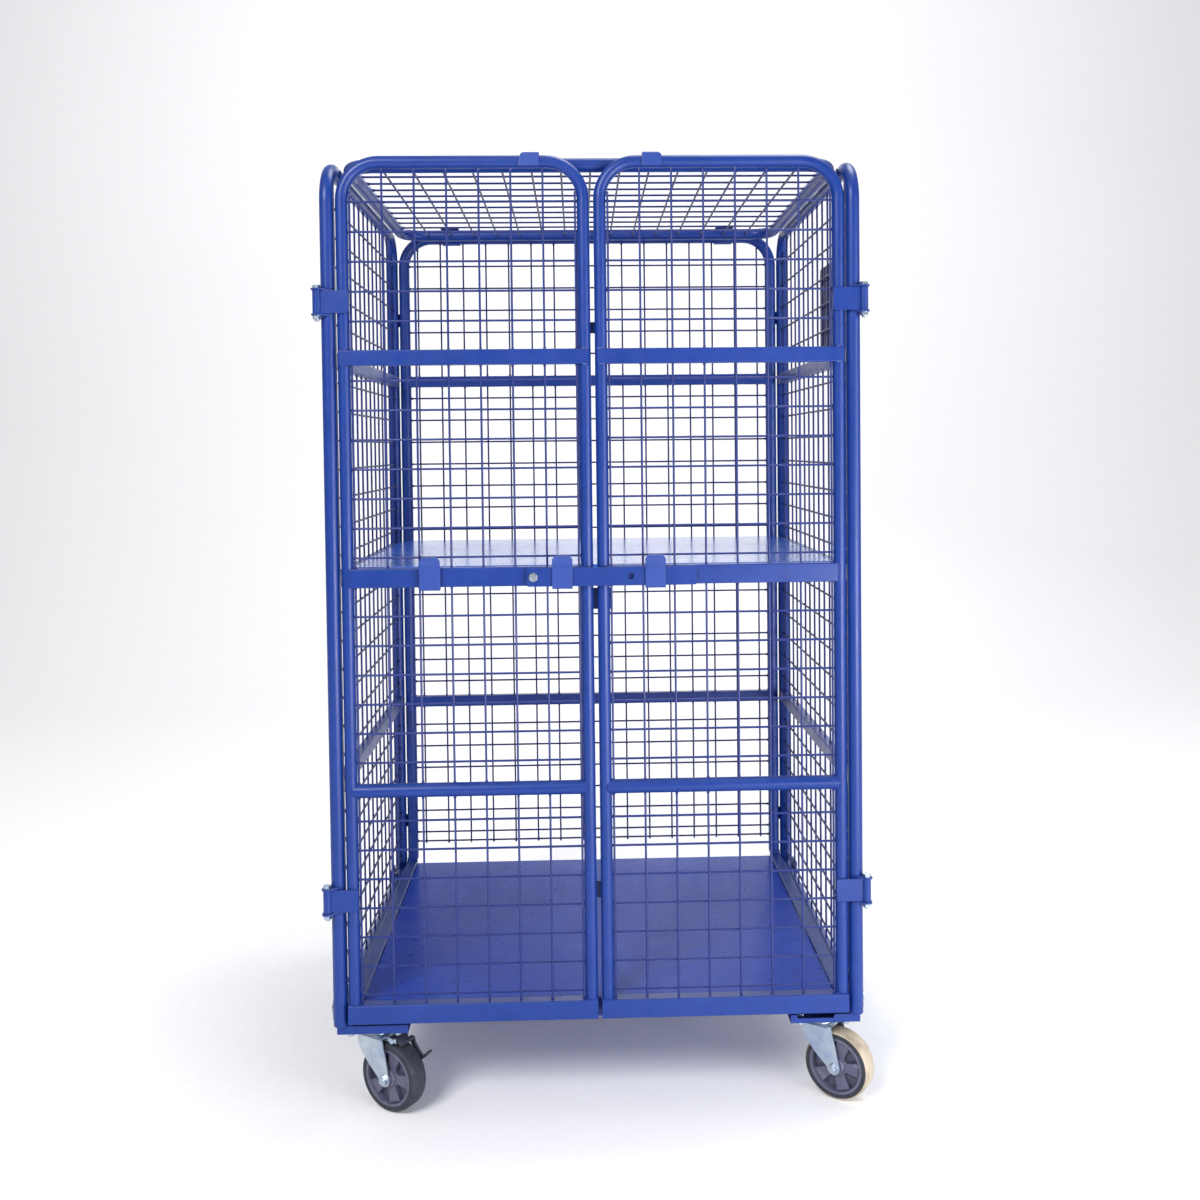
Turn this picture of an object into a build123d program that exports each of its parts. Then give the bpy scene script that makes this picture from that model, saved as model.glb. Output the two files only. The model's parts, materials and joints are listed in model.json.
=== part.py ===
from build123d import *
import math
import os

# Roll cage container: caster base with a deck, mesh sides, back and lid, one shelf and two
# mesh doors. Millimetres, Z up, floor at Z = 0, doors facing -Y. The parts are modelled about
# the middle of the cage's width and shifted at the end to centre the bounding box on the origin.
# Throughout, side is -1 for the left (-X) and 1 for the right (+X).

# ---- tubes, rails and mesh ----
TUBE, BORE = 12.5, 11.0             # outer and inner radius of the 25 mm tube
DOOR_TUBE, DOOR_BORE = 11.0, 9.5    # outer and inner radius of the 22 mm door tube
BEND = 65.0                         # top bend radius on the centre line
WALL = 2                            # wall of the rectangular sections
RAIL_HALF, RAIL_DEPTH = 12.5, 10    # half height and half depth of the flat cross rails
WIRE = 2.0                          # mesh wire radius
LAYER = 2.02                        # half the distance between the two wire layers
BITE = 0.6                          # how far wire ends run into the frame
ROW_PITCH, ROW_COUNT = 52.0, 28     # horizontal wires
FIRST_ROW = 222.0                   # lowest horizontal wire
PANEL_PITCH = 53.7                  # between vertical wires of the side and back panels
DOOR_PITCH = 56.2                   # between vertical wires of the doors

# ---- frame planes and heights ----
POST_X = 462.5              # side post centre
DOOR_Y = -391.5             # door tube plane
POST_Y = DOOR_Y + 3         # front post centre
BACK_Y = 403.5              # rear post and back panel plane
BACK_X = 435                # back panel stile centre
FOOT_Z = 167.0              # lower ends of the posts, underside of the base
SIDE_BOTTOM, SIDE_TOP = 179.5, 1692.0   # side panel bottom and top rail centres
BACK_TOP = 1690.0           # back panel top tube centre, also the lid's pivot
DOOR_TOP = 1694.5           # door top tube centre
LID_Z = 1693.5              # lid tube centre
SIDE_RAILS = (591, 960, 1353)
BACK_RAILS = (591, 1353)

# ---- doors ----
STILE_IN, STILE_OUT = 14.5, 436.0   # door stile centres
STILE_MID = (STILE_IN + STILE_OUT) / 2
DOOR_FOOT = (174, 208)              # bottom and top of the door rails
LATCH_RAIL = (950, 984)
UPPER_RAIL = (1340, 1367)
ROUND_RAIL_Z = 589                  # centre of the round cross rail
HINGE_X, HINGE_Y = POST_X + 16.5, DOOR_Y - 13
HINGE_Z = (1451.0, 397.0)
LATCH_X, LATCH_Z = -109.0, 966.0    # pivot of the latch bar

# ---- base, lid and shelf ----
SILL_X = (424, 449)                 # inner and outer face of the base's long members
CROSSBARS = ((-376, -344), (-135, -105), (125, 155), (358, 390))  # front and back faces
DECK_Z = 204.0
PANEL_BOLT_Y = (-345, 360)
CLAMP_X = (475, 480.5)              # inner and outer face of the clamp plates
LID_X = 431.5
LID_Y0, LID_Y1 = DOOR_Y + 26, BACK_Y - 28
LID_BEND = 50
STRAP_X = 322.2
SHELF_Z = 977.0
SHELF_Y0, SHELF_Y1 = -290.0, 386.0
SHELF_PIN_Y, SHELF_PIN_Z = 372.0, 966.0

# ---- fasteners: 8 mm bolts ----
BOLT, BOLT_FIT, BOLT_HOLE = 4.0, 4.05, 4.25     # radii of shank, nut bore and hole
HEX = 13                                        # across flats
HEAD, NUT = 5.3, 6.5                            # heights

# ---- casters ----
CASTER_X, CASTER_FRONT, CASTER_REAR = 406.0, -337.0, 349.0
PLATE_BOTTOM, PLATE_TOP = 148, 151
PAD_FLOOR = 155                     # upper face of the pad's floor
WHEEL_R = 62.5
TRAIL = 38.0                        # axle behind the swivel axis
SWIVEL_LEFT, SWIVEL_RIGHT = -33.0, -35.0    # heading of the trail, degrees from +X
AXLE, AXLE_HOLE = 5.0, 5.05
CROWN_BOTTOM, CROWN_TOP = 134, 137.5
LEG_IN, LEG_OUT = 24, 28            # inner and outer face of the fork legs
PIN_X, PIN_Z = 50, 133              # brake pin, in the fork's frame


# ---- solids added to the current part ----
def box(x0, x1, y0, y1, z0, z1, mode=Mode.ADD):
    with Locations(((x0 + x1) / 2, (y0 + y1) / 2, (z0 + z1) / 2)):
        Box(abs(x1 - x0), abs(y1 - y0), abs(z1 - z0), mode=mode)


def rod(radius, start, end, mode=Mode.ADD):
    """Round bar from start to end, parallel to one axis."""
    delta = [end[i] - start[i] for i in range(3)]
    axis = max(range(3), key=lambda i: abs(delta[i]))
    rotation = ((0, 90, 0), (90, 0, 0), (0, 0, 0))[axis]
    with Locations(tuple((start[i] + end[i]) / 2 for i in range(3))):
        Cylinder(radius, abs(delta[axis]), rotation=rotation, mode=mode)


def hexagon(across_flats, start, end):
    """Hexagonal prism from start to end, parallel to one axis."""
    delta = [end[i] - start[i] for i in range(3)]
    axis = max(range(3), key=lambda i: abs(delta[i]))
    normal = [0, 0, 0]
    normal[axis] = 1 if delta[axis] > 0 else -1
    x_dir = (0, 0, 1) if axis != 2 else (1, 0, 0)
    with BuildSketch(Plane(origin=start, x_dir=x_dir, z_dir=normal)) as outline:
        RegularPolygon(across_flats / 2, 6, major_radius=False)
    extrude(outline.sketch, amount=abs(delta[axis]))


def prism(plane, points, depth, mode=Mode.ADD):
    """Polygon drawn on plane and extruded by depth."""
    with BuildSketch(plane) as outline:
        with BuildLine():
            Polyline(*points, close=True)
        make_face()
    extrude(outline.sketch, amount=depth, mode=mode)


def xz_plane(y):
    """Plane across Y at y, its normal facing the front."""
    return Plane.XZ.offset(-y)


def bent(points, radius, closed):
    """Tube centre line through points, its corners rounded."""
    corners = [Vector(*point) for point in points]
    count = len(corners)
    arcs = []       # start, middle and end of each corner; no middle at a free end
    for i, corner in enumerate(corners):
        if not closed and i in (0, count - 1):
            arcs.append((corner, None, corner))
            continue
        back = (corners[i - 1] - corner).normalized()
        ahead = (corners[(i + 1) % count] - corner).normalized()
        inward = back + ahead
        middle = corner + inward * radius + (-inward).normalized() * radius
        arcs.append((corner + back * radius, middle, corner + ahead * radius))
    for i in range(count if closed else count - 1):
        following = arcs[(i + 1) % count]
        Line(arcs[i][2], following[0])
        if following[1] is not None:
            ThreePointArc(*following)


def pipe(points, radius, bend=BEND, closed=False, mode=Mode.ADD):
    """Bent round bar along the rounded path."""
    with BuildLine() as path:
        bent(points, bend, closed)
    with BuildSketch(Plane(origin=path.line @ 0, z_dir=path.line % 0)) as section:
        Circle(radius)
    sweep(section.sketch, path=path.line, mode=mode)


def hoop(start, end, foot_z, top_z):
    """Corners of an upturned U standing on the (x, y) places start and end."""
    return [(*start, foot_z), (*start, top_z), (*end, top_z), (*end, foot_z)]


# ---- mesh helpers ----
def rows(skip=(7, 14, 22)):
    """Heights of the horizontal wires, without the skipped ones."""
    return [FIRST_ROW + ROW_PITCH * k for k in range(ROW_COUNT) if k not in skip]


def rail_edges(rails):
    """Wire ends below and above each flat rail."""
    return [z + end * (RAIL_HALF - BITE) for z in rails for end in (-1, 1)]


def upright_wire(x, y, levels):
    """Vertical wire in pieces; levels are their bottoms and tops in turn."""
    for z0, z1 in zip(levels[::2], levels[1::2]):
        rod(WIRE, (x, y, z0), (x, y, z1))


def wire_top(tube_z, tube, into_bend):
    """Upper end of a vertical wire that stands into_bend past the start of the bend."""
    if into_bend <= 0:
        return tube_z - tube + BITE
    rise = math.sqrt(max((BEND - tube) ** 2 - (into_bend + WIRE) ** 2, 0))
    return tube_z - BEND + rise + 0.2


def bend_inset(inner, into_bend):
    """How far a wire is shortened inside a bend of the given inner radius."""
    if into_bend <= 0:
        return 0.0
    return inner - math.sqrt(inner ** 2 - into_bend ** 2)


# ---- base and deck ----
def base_frame():
    inner, outer = SILL_X
    with BuildPart() as part:
        for side in (-1, 1):
            box(side * inner, side * outer, -376, BACK_Y - 4, FOOT_Z, 208)
        for y0, y1 in CROSSBARS:
            box(-425, 425, y0, y1, FOOT_Z, 200.98)
        # hollow insides; the long members are open at both ends
        for side in (-1, 1):
            box(side * (inner + WALL), side * (outer - WALL), -378, BACK_Y - 2,
                FOOT_Z + WALL, 208 - WALL, Mode.SUBTRACT)
            for y in PANEL_BOLT_Y:
                rod(BOLT_HOLE, (side * 440, y, SIDE_BOTTOM), (side * 452, y, SIDE_BOTTOM),
                    Mode.SUBTRACT)
        for y0, y1 in CROSSBARS:
            box(-423.5, 423.5, y0 + WALL, y1 - WALL, FOOT_Z + WALL, 199, Mode.SUBTRACT)
    return part.part


def deck_sheet():
    """Sheet with its front edge turned down."""
    with BuildPart() as part:
        box(-423, 423, -377.5, 390, DECK_Z - 3, DECK_Z)
        box(-423, 423, -379, -376.2, 186, DECK_Z)
    return part.part


def plate_holes(x, y):
    """Bolt places of the caster plate centred at x, y."""
    return [(x + dx, y + dy) for dx in (-42, 42) for dy in (-32, 32)]


CASTER_PLACES = [(side * CASTER_X, y) for side in (-1, 1) for y in (CASTER_FRONT, CASTER_REAR)]


def caster_pads():
    """Channels, open at the sides, between the caster plates and the base."""
    with BuildPart() as part:
        for x, y in CASTER_PLACES:
            box(x - 63, x + 63, y - 55, y + 55, PLATE_TOP, FOOT_Z)
            box(x - 64, x + 64, y - 51, y + 51, PAD_FLOOR, FOOT_Z + 1.5, Mode.SUBTRACT)
            for hole in plate_holes(x, y):
                rod(BOLT_HOLE, (*hole, PLATE_TOP - 1), (*hole, PAD_FLOOR + 1), Mode.SUBTRACT)
    return part.part


def caster_bolts():
    with BuildPart() as part:
        for place in CASTER_PLACES:
            for hole in plate_holes(*place):
                rod(BOLT, (*hole, 139.5), (*hole, PAD_FLOOR + 0.2))
                hexagon(HEX, (*hole, PAD_FLOOR), (*hole, PAD_FLOOR + HEAD))
    return part.part


def caster_nuts():
    with BuildPart() as part:
        for place in CASTER_PLACES:
            for hole in plate_holes(*place):
                hexagon(HEX, (*hole, PLATE_BOTTOM - NUT), (*hole, PLATE_BOTTOM))
                rod(BOLT_FIT, (*hole, PLATE_BOTTOM - 7), (*hole, PLATE_BOTTOM + 0.5),
                    Mode.SUBTRACT)
    return part.part


# ---- side panels ----
def post_foot(x, y):
    """Closed lower end of a post, its rim rounded."""
    rim = 3.5
    edge = x + TUBE
    with BuildSketch(xz_plane(y)) as profile:
        with BuildLine():
            Polyline((edge, FOOT_Z + rim), (edge, FOOT_Z + 6), (x, FOOT_Z + 6), (x, FOOT_Z),
                     (edge - rim, FOOT_Z))
            ThreePointArc((edge - rim, FOOT_Z), (edge - 1.025, FOOT_Z + 1.025),
                          (edge, FOOT_Z + rim))
        make_face()
    revolve(profile.sketch, axis=Axis((x, y, 0), (0, 0, 1)))


def side_frame(side):
    """Bent tube on capped feet, with a round bottom rail and three flat cross rails."""
    x = side * POST_X
    front, rear = (x, POST_Y), (x, BACK_Y)
    with BuildPart() as part:
        pipe(hoop(front, rear, FOOT_Z + 6, SIDE_TOP), TUBE)
        for y in (POST_Y, BACK_Y):
            post_foot(x, y)
        rod(TUBE, (*front, SIDE_BOTTOM), (*rear, SIDE_BOTTOM))
        for z in SIDE_RAILS:
            box(x - RAIL_DEPTH, x + RAIL_DEPTH, POST_Y, BACK_Y, z - RAIL_HALF, z + RAIL_HALF)
        # hollow insides
        pipe(hoop(front, rear, FOOT_Z + 5, SIDE_TOP), BORE, mode=Mode.SUBTRACT)
        rod(BORE, (x, POST_Y + 13, SIDE_BOTTOM), (x, BACK_Y - 13, SIDE_BOTTOM), Mode.SUBTRACT)
        depth, half = RAIL_DEPTH - WALL, RAIL_HALF - WALL
        for z in SIDE_RAILS:
            box(x - depth, x + depth, POST_Y + 13, BACK_Y - 13, z - half, z + half,
                Mode.SUBTRACT)
        for y in PANEL_BOLT_Y:
            rod(BOLT_HOLE, (x - 14, y, SIDE_BOTTOM), (x + 14, y, SIDE_BOTTOM), Mode.SUBTRACT)
    return part.part


def side_mesh(side):
    middle = (POST_Y + BACK_Y) / 2
    straight = (BACK_Y - POST_Y) / 2 - BEND
    with BuildPart() as part:
        for k in range(15):
            y = middle + PANEL_PITCH * (k - 7)
            top = wire_top(SIDE_TOP, TUBE, abs(y - middle) - straight)
            upright_wire(side * (POST_X + LAYER), y,
                         [SIDE_BOTTOM + TUBE - BITE, *rail_edges(SIDE_RAILS), top])
        x = side * (POST_X - LAYER)
        for z in rows():
            rod(WIRE, (x, POST_Y + TUBE - BITE, z), (x, BACK_Y - TUBE + BITE, z))
    return part.part


def panel_clamps():
    """Plates outside the side panels' bottom rails."""
    inner, outer = CLAMP_X
    with BuildPart() as part:
        for side in (-1, 1):
            for y in PANEL_BOLT_Y:
                box(side * inner, side * outer, y - 22, y + 22, 168, 203)
                rod(BOLT_HOLE, (side * (inner - 1), y, SIDE_BOTTOM),
                    (side * (outer + 1.5), y, SIDE_BOTTOM), Mode.SUBTRACT)
    return part.part


def panel_bolts():
    face = CLAMP_X[1]
    with BuildPart() as part:
        for side in (-1, 1):
            for y in PANEL_BOLT_Y:
                rod(BOLT, (side * 436, y, SIDE_BOTTOM), (side * (face + 0.5), y, SIDE_BOTTOM))
                hexagon(HEX, (side * face, y, SIDE_BOTTOM),
                        (side * (face + HEAD), y, SIDE_BOTTOM))
    return part.part


def panel_nuts():
    """Nuts inside the base's long members."""
    with BuildPart() as part:
        for side in (-1, 1):
            for y in PANEL_BOLT_Y:
                hexagon(HEX, (side * 440.4, y, SIDE_BOTTOM),
                        (side * (440.4 + NUT), y, SIDE_BOTTOM))
                rod(BOLT_FIT, (side * 440, y, SIDE_BOTTOM), (side * 448, y, SIDE_BOTTOM),
                    Mode.SUBTRACT)
    return part.part


def document_plate():
    """Rounded plate on the right side panel."""
    with BuildPart() as part:
        box(467.2, 468.7, -290, -60, 1366, 1548)
        fillet(part.edges().filter_by(Axis.X), 8)
    return part.part


# ---- back panel ----
def back_frame():
    left, right = (-BACK_X, BACK_Y), (BACK_X, BACK_Y)
    with BuildPart() as part:
        pipe(hoop(left, right, 214, BACK_TOP), TUBE)
        for z in BACK_RAILS:
            box(-BACK_X, BACK_X, BACK_Y - RAIL_DEPTH, BACK_Y + RAIL_DEPTH,
                z - RAIL_HALF, z + RAIL_HALF)
        pipe(hoop(left, right, 213, BACK_TOP), BORE, mode=Mode.SUBTRACT)
        inner, depth, half = BACK_X - 13, RAIL_DEPTH - WALL, RAIL_HALF - WALL
        for z in BACK_RAILS:
            box(-inner, inner, BACK_Y - depth, BACK_Y + depth, z - half, z + half,
                Mode.SUBTRACT)
    return part.part


def back_mesh():
    with BuildPart() as part:
        for k in range(16):
            x = PANEL_PITCH * (k - 7.5)
            top = wire_top(BACK_TOP, TUBE, abs(x) - (BACK_X - BEND))
            upright_wire(x, BACK_Y - LAYER, [250, *rail_edges(BACK_RAILS), top])
        # the lowest wire stands above the regular first row
        for z in [252.0] + rows(skip=(0, 7, 22)):
            inset = bend_inset(BEND - TUBE, z - BACK_TOP + BEND)
            end = BACK_X - TUBE + BITE - inset
            rod(WIRE, (-end, BACK_Y + LAYER, z), (end, BACK_Y + LAYER, z))
    return part.part


def back_brackets():
    """Plates joining the back panel to the rear posts, and feet under its stiles."""
    clearance = TUBE + 0.02
    with BuildPart() as part:
        for side in (-1, 1):
            for z in (300, 900, 1500):
                box(side * 440, side * 457, BACK_Y + 11, BACK_Y + 14, z - 15, z + 15)
                for x in (side * POST_X, side * BACK_X):
                    rod(clearance, (x, BACK_Y, z - 16), (x, BACK_Y, z + 16), Mode.SUBTRACT)
            box(side * 424.5, side * 448, BACK_Y - 11, BACK_Y + 11, 208, 214)
    return part.part


# ---- hinges ----
EAR_GAP, EAR = 20.3, 3.5    # ear's inner face from the hinge middle, ear thickness
EAR_FACE = EAR_GAP + EAR


def hinge_ears():
    """Pairs of flat ears reaching from the front posts to the hinge axes."""
    with BuildPart() as part:
        for side in (-1, 1):
            for z in HINGE_Z:
                for ear_z in (z + EAR_GAP, z - EAR_FACE):
                    with BuildSketch(Plane.XY.offset(ear_z)):
                        with Locations((side * HINGE_X, HINGE_Y)):
                            Circle(10)
                        with BuildLine():
                            Polyline((side * (HINGE_X + 7.1), HINGE_Y + 7.1),
                                     (side * (HINGE_X - 7.1), HINGE_Y - 7.1),
                                     (side * (POST_X - 5), POST_Y - 12),
                                     (side * (POST_X + 12), POST_Y + 4), close=True)
                        make_face()
                        with Locations((side * HINGE_X, HINGE_Y)):
                            Circle(BOLT_HOLE, mode=Mode.SUBTRACT)
                        with Locations((side * POST_X, POST_Y)):
                            Circle(12.45, mode=Mode.SUBTRACT)
                    extrude(amount=EAR)
    return part.part


def hinge_bolts():
    with BuildPart() as part:
        for side in (-1, 1):
            for z in HINGE_Z:
                place = (side * HINGE_X, HINGE_Y)
                rod(BOLT, (*place, z - 34), (*place, z + 24))
                hexagon(HEX, (*place, z + EAR_FACE), (*place, z + EAR_FACE + HEAD))
    return part.part


def hinge_nuts():
    with BuildPart() as part:
        for side in (-1, 1):
            for z in HINGE_Z:
                place = (side * HINGE_X, HINGE_Y)
                hexagon(HEX, (*place, z - EAR_FACE - NUT), (*place, z - EAR_FACE))
                rod(BOLT_FIT, (*place, z - 31), (*place, z - 23), Mode.SUBTRACT)
    return part.part


def hinge_leaves(side):
    """Hinge knuckles with the plates that reach across the post to the door stile."""
    x = side * HINGE_X
    with BuildPart() as part:
        for z in HINGE_Z:
            rod(7.5, (x, HINGE_Y, z - 20), (x, HINGE_Y, z + 20))
            box(side * 425, side * (HINGE_X - 5), HINGE_Y - 2, HINGE_Y + 2.3, z - 20, z + 20)
            rod(BOLT_FIT, (x, HINGE_Y, z - 21), (x, HINGE_Y, z + 21), Mode.SUBTRACT)
    return part.part


# ---- doors ----
def door_frame(side):
    """Bent tube on a rectangular bottom rail, with three cross rails."""
    inner, outer = (side * STILE_IN, DOOR_Y), (side * STILE_OUT, DOOR_Y)

    def rail(grow, y0, y1, z0, z1, mode=Mode.ADD):
        """Box between the stile centres, made longer by grow at each end."""
        box(side * (STILE_IN - grow), side * (STILE_OUT + grow), DOOR_Y + y0, DOOR_Y + y1,
            z0, z1, mode)

    def hollow(grow, y0, y1, z0, z1):
        """Inside of a rail with these outer faces."""
        rail(grow, y0 + WALL, y1 - WALL, z0 + WALL, z1 - WALL, Mode.SUBTRACT)

    with BuildPart() as part:
        pipe(hoop(inner, outer, 206, DOOR_TOP), DOOR_TUBE)
        rail(DOOR_TUBE, -12.5, 12.5, *DOOR_FOOT)
        rail(0, -DOOR_TUBE, DOOR_TUBE, *LATCH_RAIL)
        rail(7.5, -12.5, 9, *UPPER_RAIL)
        rod(TUBE, (*inner, ROUND_RAIL_Z), (*outer, ROUND_RAIL_Z))
        pipe(hoop(inner, outer, 209.5, DOOR_TOP), DOOR_BORE, mode=Mode.SUBTRACT)
        hollow(DOOR_TUBE - WALL, -12.5, 12.5, *DOOR_FOOT)
        hollow(-12, -DOOR_TUBE, DOOR_TUBE, *LATCH_RAIL)
        hollow(-12, -12.5, 9, *UPPER_RAIL)
        rod(BORE, (side * (STILE_IN + 13), DOOR_Y, ROUND_RAIL_Z),
            (side * (STILE_OUT - 13), DOOR_Y, ROUND_RAIL_Z), Mode.SUBTRACT)
        if side < 0:
            rod(BOLT_HOLE, (LATCH_X, DOOR_Y - 12, LATCH_Z), (LATCH_X, DOOR_Y + 12, LATCH_Z),
                Mode.SUBTRACT)
    return part.part


def door_mesh(side):
    """Welded wires in the bays between the door rails."""
    straight = (STILE_OUT - STILE_IN) / 2 - BEND
    round_half = TUBE - 0.7     # wires bite a little deeper into the round rail
    levels = [DOOR_FOOT[1] - BITE, ROUND_RAIL_Z - round_half, ROUND_RAIL_Z + round_half,
              LATCH_RAIL[0] + BITE, LATCH_RAIL[1] - BITE,
              UPPER_RAIL[0] + BITE, UPPER_RAIL[1] - BITE]
    with BuildPart() as part:
        for k in range(8):
            x = STILE_MID + DOOR_PITCH * (k - 3.5)
            top = wire_top(DOOR_TOP, DOOR_TUBE, abs(x - STILE_MID) - straight)
            upright_wire(side * x, DOOR_Y - LAYER, [*levels, top])
        for z in rows():
            inset = bend_inset(BEND - DOOR_TUBE, z - DOOR_TOP + BEND)
            reach = DOOR_TUBE - 0.5 + inset
            rod(WIRE, (side * (STILE_IN + reach), DOOR_Y + LAYER, z),
                (side * (STILE_OUT - reach), DOOR_Y + LAYER, z))
    return part.part


def door_tab(side):
    """Bent plate over the front and top of the door's upper tube, outer corner bevelled."""
    inner, bevel, outer, top = side * 90, side * 119, side * 126, 1709.5
    with BuildPart() as part:
        prism(xz_plane(DOOR_Y - 11),
              [(inner, 1686), (outer, 1686), (outer, top - 7), (bevel, top), (inner, top)], 3)
        box(inner, bevel, DOOR_Y - 12, DOOR_Y + 11.5, top - 3, top)
        box(inner, bevel, DOOR_Y - 3, DOOR_Y + 3, 1705.2, 1707)
    return part.part


def door_stops():
    """Plates behind the right door's inner stile that reach over the gap."""
    # left and right edge, bottom and top
    plates = ((-15, 20, 1395, 1415), (-16, 31, 905, 943), (-15, 20, 385, 415))
    with BuildPart() as part:
        for x0, x1, z0, z1 in plates:
            box(x0, x1, DOOR_Y + 11.2, DOOR_Y + 14.2, z0, z1)
            box(8, 21, DOOR_Y + 8.2, DOOR_Y + 11.4, z0 + 2, z1 - 2)
            rod(DOOR_TUBE, (STILE_IN, DOOR_Y, z0 - 1), (STILE_IN, DOOR_Y, z1 + 1),
                Mode.SUBTRACT)
    return part.part


# ---- latch ----
def keepers(*places):
    """Open-topped keepers: rear leaf on the rail, bottom web, front lip flared at the top."""
    half, bottom, front = 18, 945, DOOR_Y - 22.5
    lip = [(front, bottom), (DOOR_Y - 19.5, bottom), (DOOR_Y - 19.5, 990),
           (DOOR_Y - 21.5, 1003), (DOOR_Y - 24.4, 1003.6), (front, 990.5)]     # y, z
    with BuildPart() as part:
        for x in places:
            box(x - half, x + half, DOOR_Y - 13, DOOR_Y - 11, bottom, 988)
            box(x - half, x + half, front, DOOR_Y - 11, bottom, bottom + 3)
            prism(Plane.YZ.offset(x - half), lip, 2 * half)
    return part.part


def latch_bar():
    front, back = DOOR_Y - 19, DOOR_Y - 13      # reach of the hole cutters
    with BuildPart() as part:
        box(-121, 179, DOOR_Y - 18.5, DOOR_Y - 13.5, LATCH_Z - 16.5, LATCH_Z + 16.5)
        fillet(part.edges().filter_by(Axis.Y), 4)
        for x, radius in ((LATCH_X, BOLT_FIT), (63, 5.5)):
            rod(radius, (x, front, LATCH_Z), (x, back, LATCH_Z), Mode.SUBTRACT)
    return part.part


def latch_bolt():
    face = DOOR_Y - 18.6
    with BuildPart() as part:
        rod(BOLT, (LATCH_X, DOOR_Y - 19, LATCH_Z), (LATCH_X, DOOR_Y + 20, LATCH_Z))
        hexagon(HEX, (LATCH_X, face, LATCH_Z), (LATCH_X, face - HEAD, LATCH_Z))
    return part.part


def latch_fixings():
    """Washer behind the bar and nut behind the rail."""
    with BuildPart() as part:
        rod(9, (LATCH_X, DOOR_Y - 13.4, LATCH_Z), (LATCH_X, DOOR_Y - 11.02, LATCH_Z))
        hexagon(HEX, (LATCH_X, DOOR_Y + 11.05, LATCH_Z), (LATCH_X, DOOR_Y + 17.5, LATCH_Z))
        rod(BOLT_FIT, (LATCH_X, DOOR_Y - 14, LATCH_Z), (LATCH_X, DOOR_Y + 18, LATCH_Z),
            Mode.SUBTRACT)
    return part.part


# ---- lid ----
def roof_frame():
    loop = [(-LID_X, LID_Y0, LID_Z), (LID_X, LID_Y0, LID_Z),
            (LID_X, LID_Y1, LID_Z), (-LID_X, LID_Y1, LID_Z)]
    with BuildPart() as part:
        pipe(loop, TUBE, LID_BEND, closed=True)
        pipe(loop, BORE, LID_BEND, closed=True, mode=Mode.SUBTRACT)
    return part.part


def roof_mesh():
    reach = TUBE - BITE
    middle = (LID_Y0 + LID_Y1) / 2
    straight = (LID_Y1 - LID_Y0) / 2 - LID_BEND
    with BuildPart() as part:
        for k in range(-7, 8):
            x, z = 53 * k, LID_Z - LAYER
            rod(WIRE, (x, LID_Y0 + reach, z), (x, LID_Y1 - reach, z))
        for k in range(12):
            y, z = middle + 60 * (k - 5.5), LID_Z + LAYER
            end = LID_X - reach - bend_inset(LID_BEND - TUBE, abs(y - middle) - straight)
            rod(WIRE, (-end, y, z), (end, y, z))
    return part.part


def roof_straps():
    """Loops round the back panel's top tube with flat tongues over the lid."""
    with BuildPart() as part:
        for x in (-STRAP_X, STRAP_X):
            x0, x1 = x - 21, x + 21
            rod(15.6, (x0, BACK_Y, BACK_TOP), (x1, BACK_Y, BACK_TOP))
            box(x0, x1, BACK_Y - 14, BACK_Y, 1702.4, 1707)
            box(x0, x1, BACK_Y - 50, BACK_Y - 10, 1705.9, 1709)
            rod(12.58, (x0 - 1, BACK_Y, BACK_TOP), (x1 + 1, BACK_Y, BACK_TOP), Mode.SUBTRACT)
    return part.part


def roof_rests():
    """Angles under the lid's sides near the front."""
    outer = 451.5
    with BuildPart() as part:
        for side in (-1, 1):
            box(side * 424, side * outer, -320, -296, 1677, 1680.9)
            box(side * 448.6, side * outer, -320, -296, 1677, 1696)
    return part.part


# ---- shelf ----
def shelf_sheet():
    under = SHELF_Z - 1
    with BuildPart() as part:
        box(-445, 445, SHELF_Y0, 364, SHELF_Z - 2, SHELF_Z)
        box(-424.4, 424.4, 360, SHELF_Y1, SHELF_Z - 2, SHELF_Z)
        # front edge turned down and back
        box(-415, 415, SHELF_Y0, SHELF_Y0 + 2, SHELF_Z - 25, under)
        box(-415, 415, SHELF_Y0, SHELF_Y0 + 14, SHELF_Z - 25, SHELF_Z - 23)
        # two channels under the sheet
        for y in (-60, 150):
            box(-400, 400, y - 15, y + 15, SHELF_Z - 14, SHELF_Z - 12)
            for wall_y in (y - 15, y + 13):
                box(-400, 400, wall_y, wall_y + 2, SHELF_Z - 14, under)
        # pivot ears
        for side in (-1, 1):
            box(side * 421, side * 424, SHELF_PIN_Y - 11, SHELF_PIN_Y + 11,
                SHELF_PIN_Z - 9, under)
        for side in (-1, 1):
            rod(5.06, (side * 419, SHELF_PIN_Y, SHELF_PIN_Z),
                (side * 426, SHELF_PIN_Y, SHELF_PIN_Z), Mode.SUBTRACT)
    return part.part


def shelf_brackets():
    """Side angles under the shelf, each with a plate for the pivot pin."""
    inner, outer, top = 425.4, 452.6, 974.8
    with BuildPart() as part:
        for side in (-1, 1):
            box(side * 449.5, side * outer, -285, 350, 948, top)
            box(side * inner, side * outer, -285, 350, top - 2.5, top)
            box(side * inner, side * (inner + 3), 290, 384, 954, 972.4)
        for side in (-1, 1):
            rod(5.02, (side * 424, SHELF_PIN_Y, SHELF_PIN_Z),
                (side * 430, SHELF_PIN_Y, SHELF_PIN_Z), Mode.SUBTRACT)
    return part.part


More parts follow.
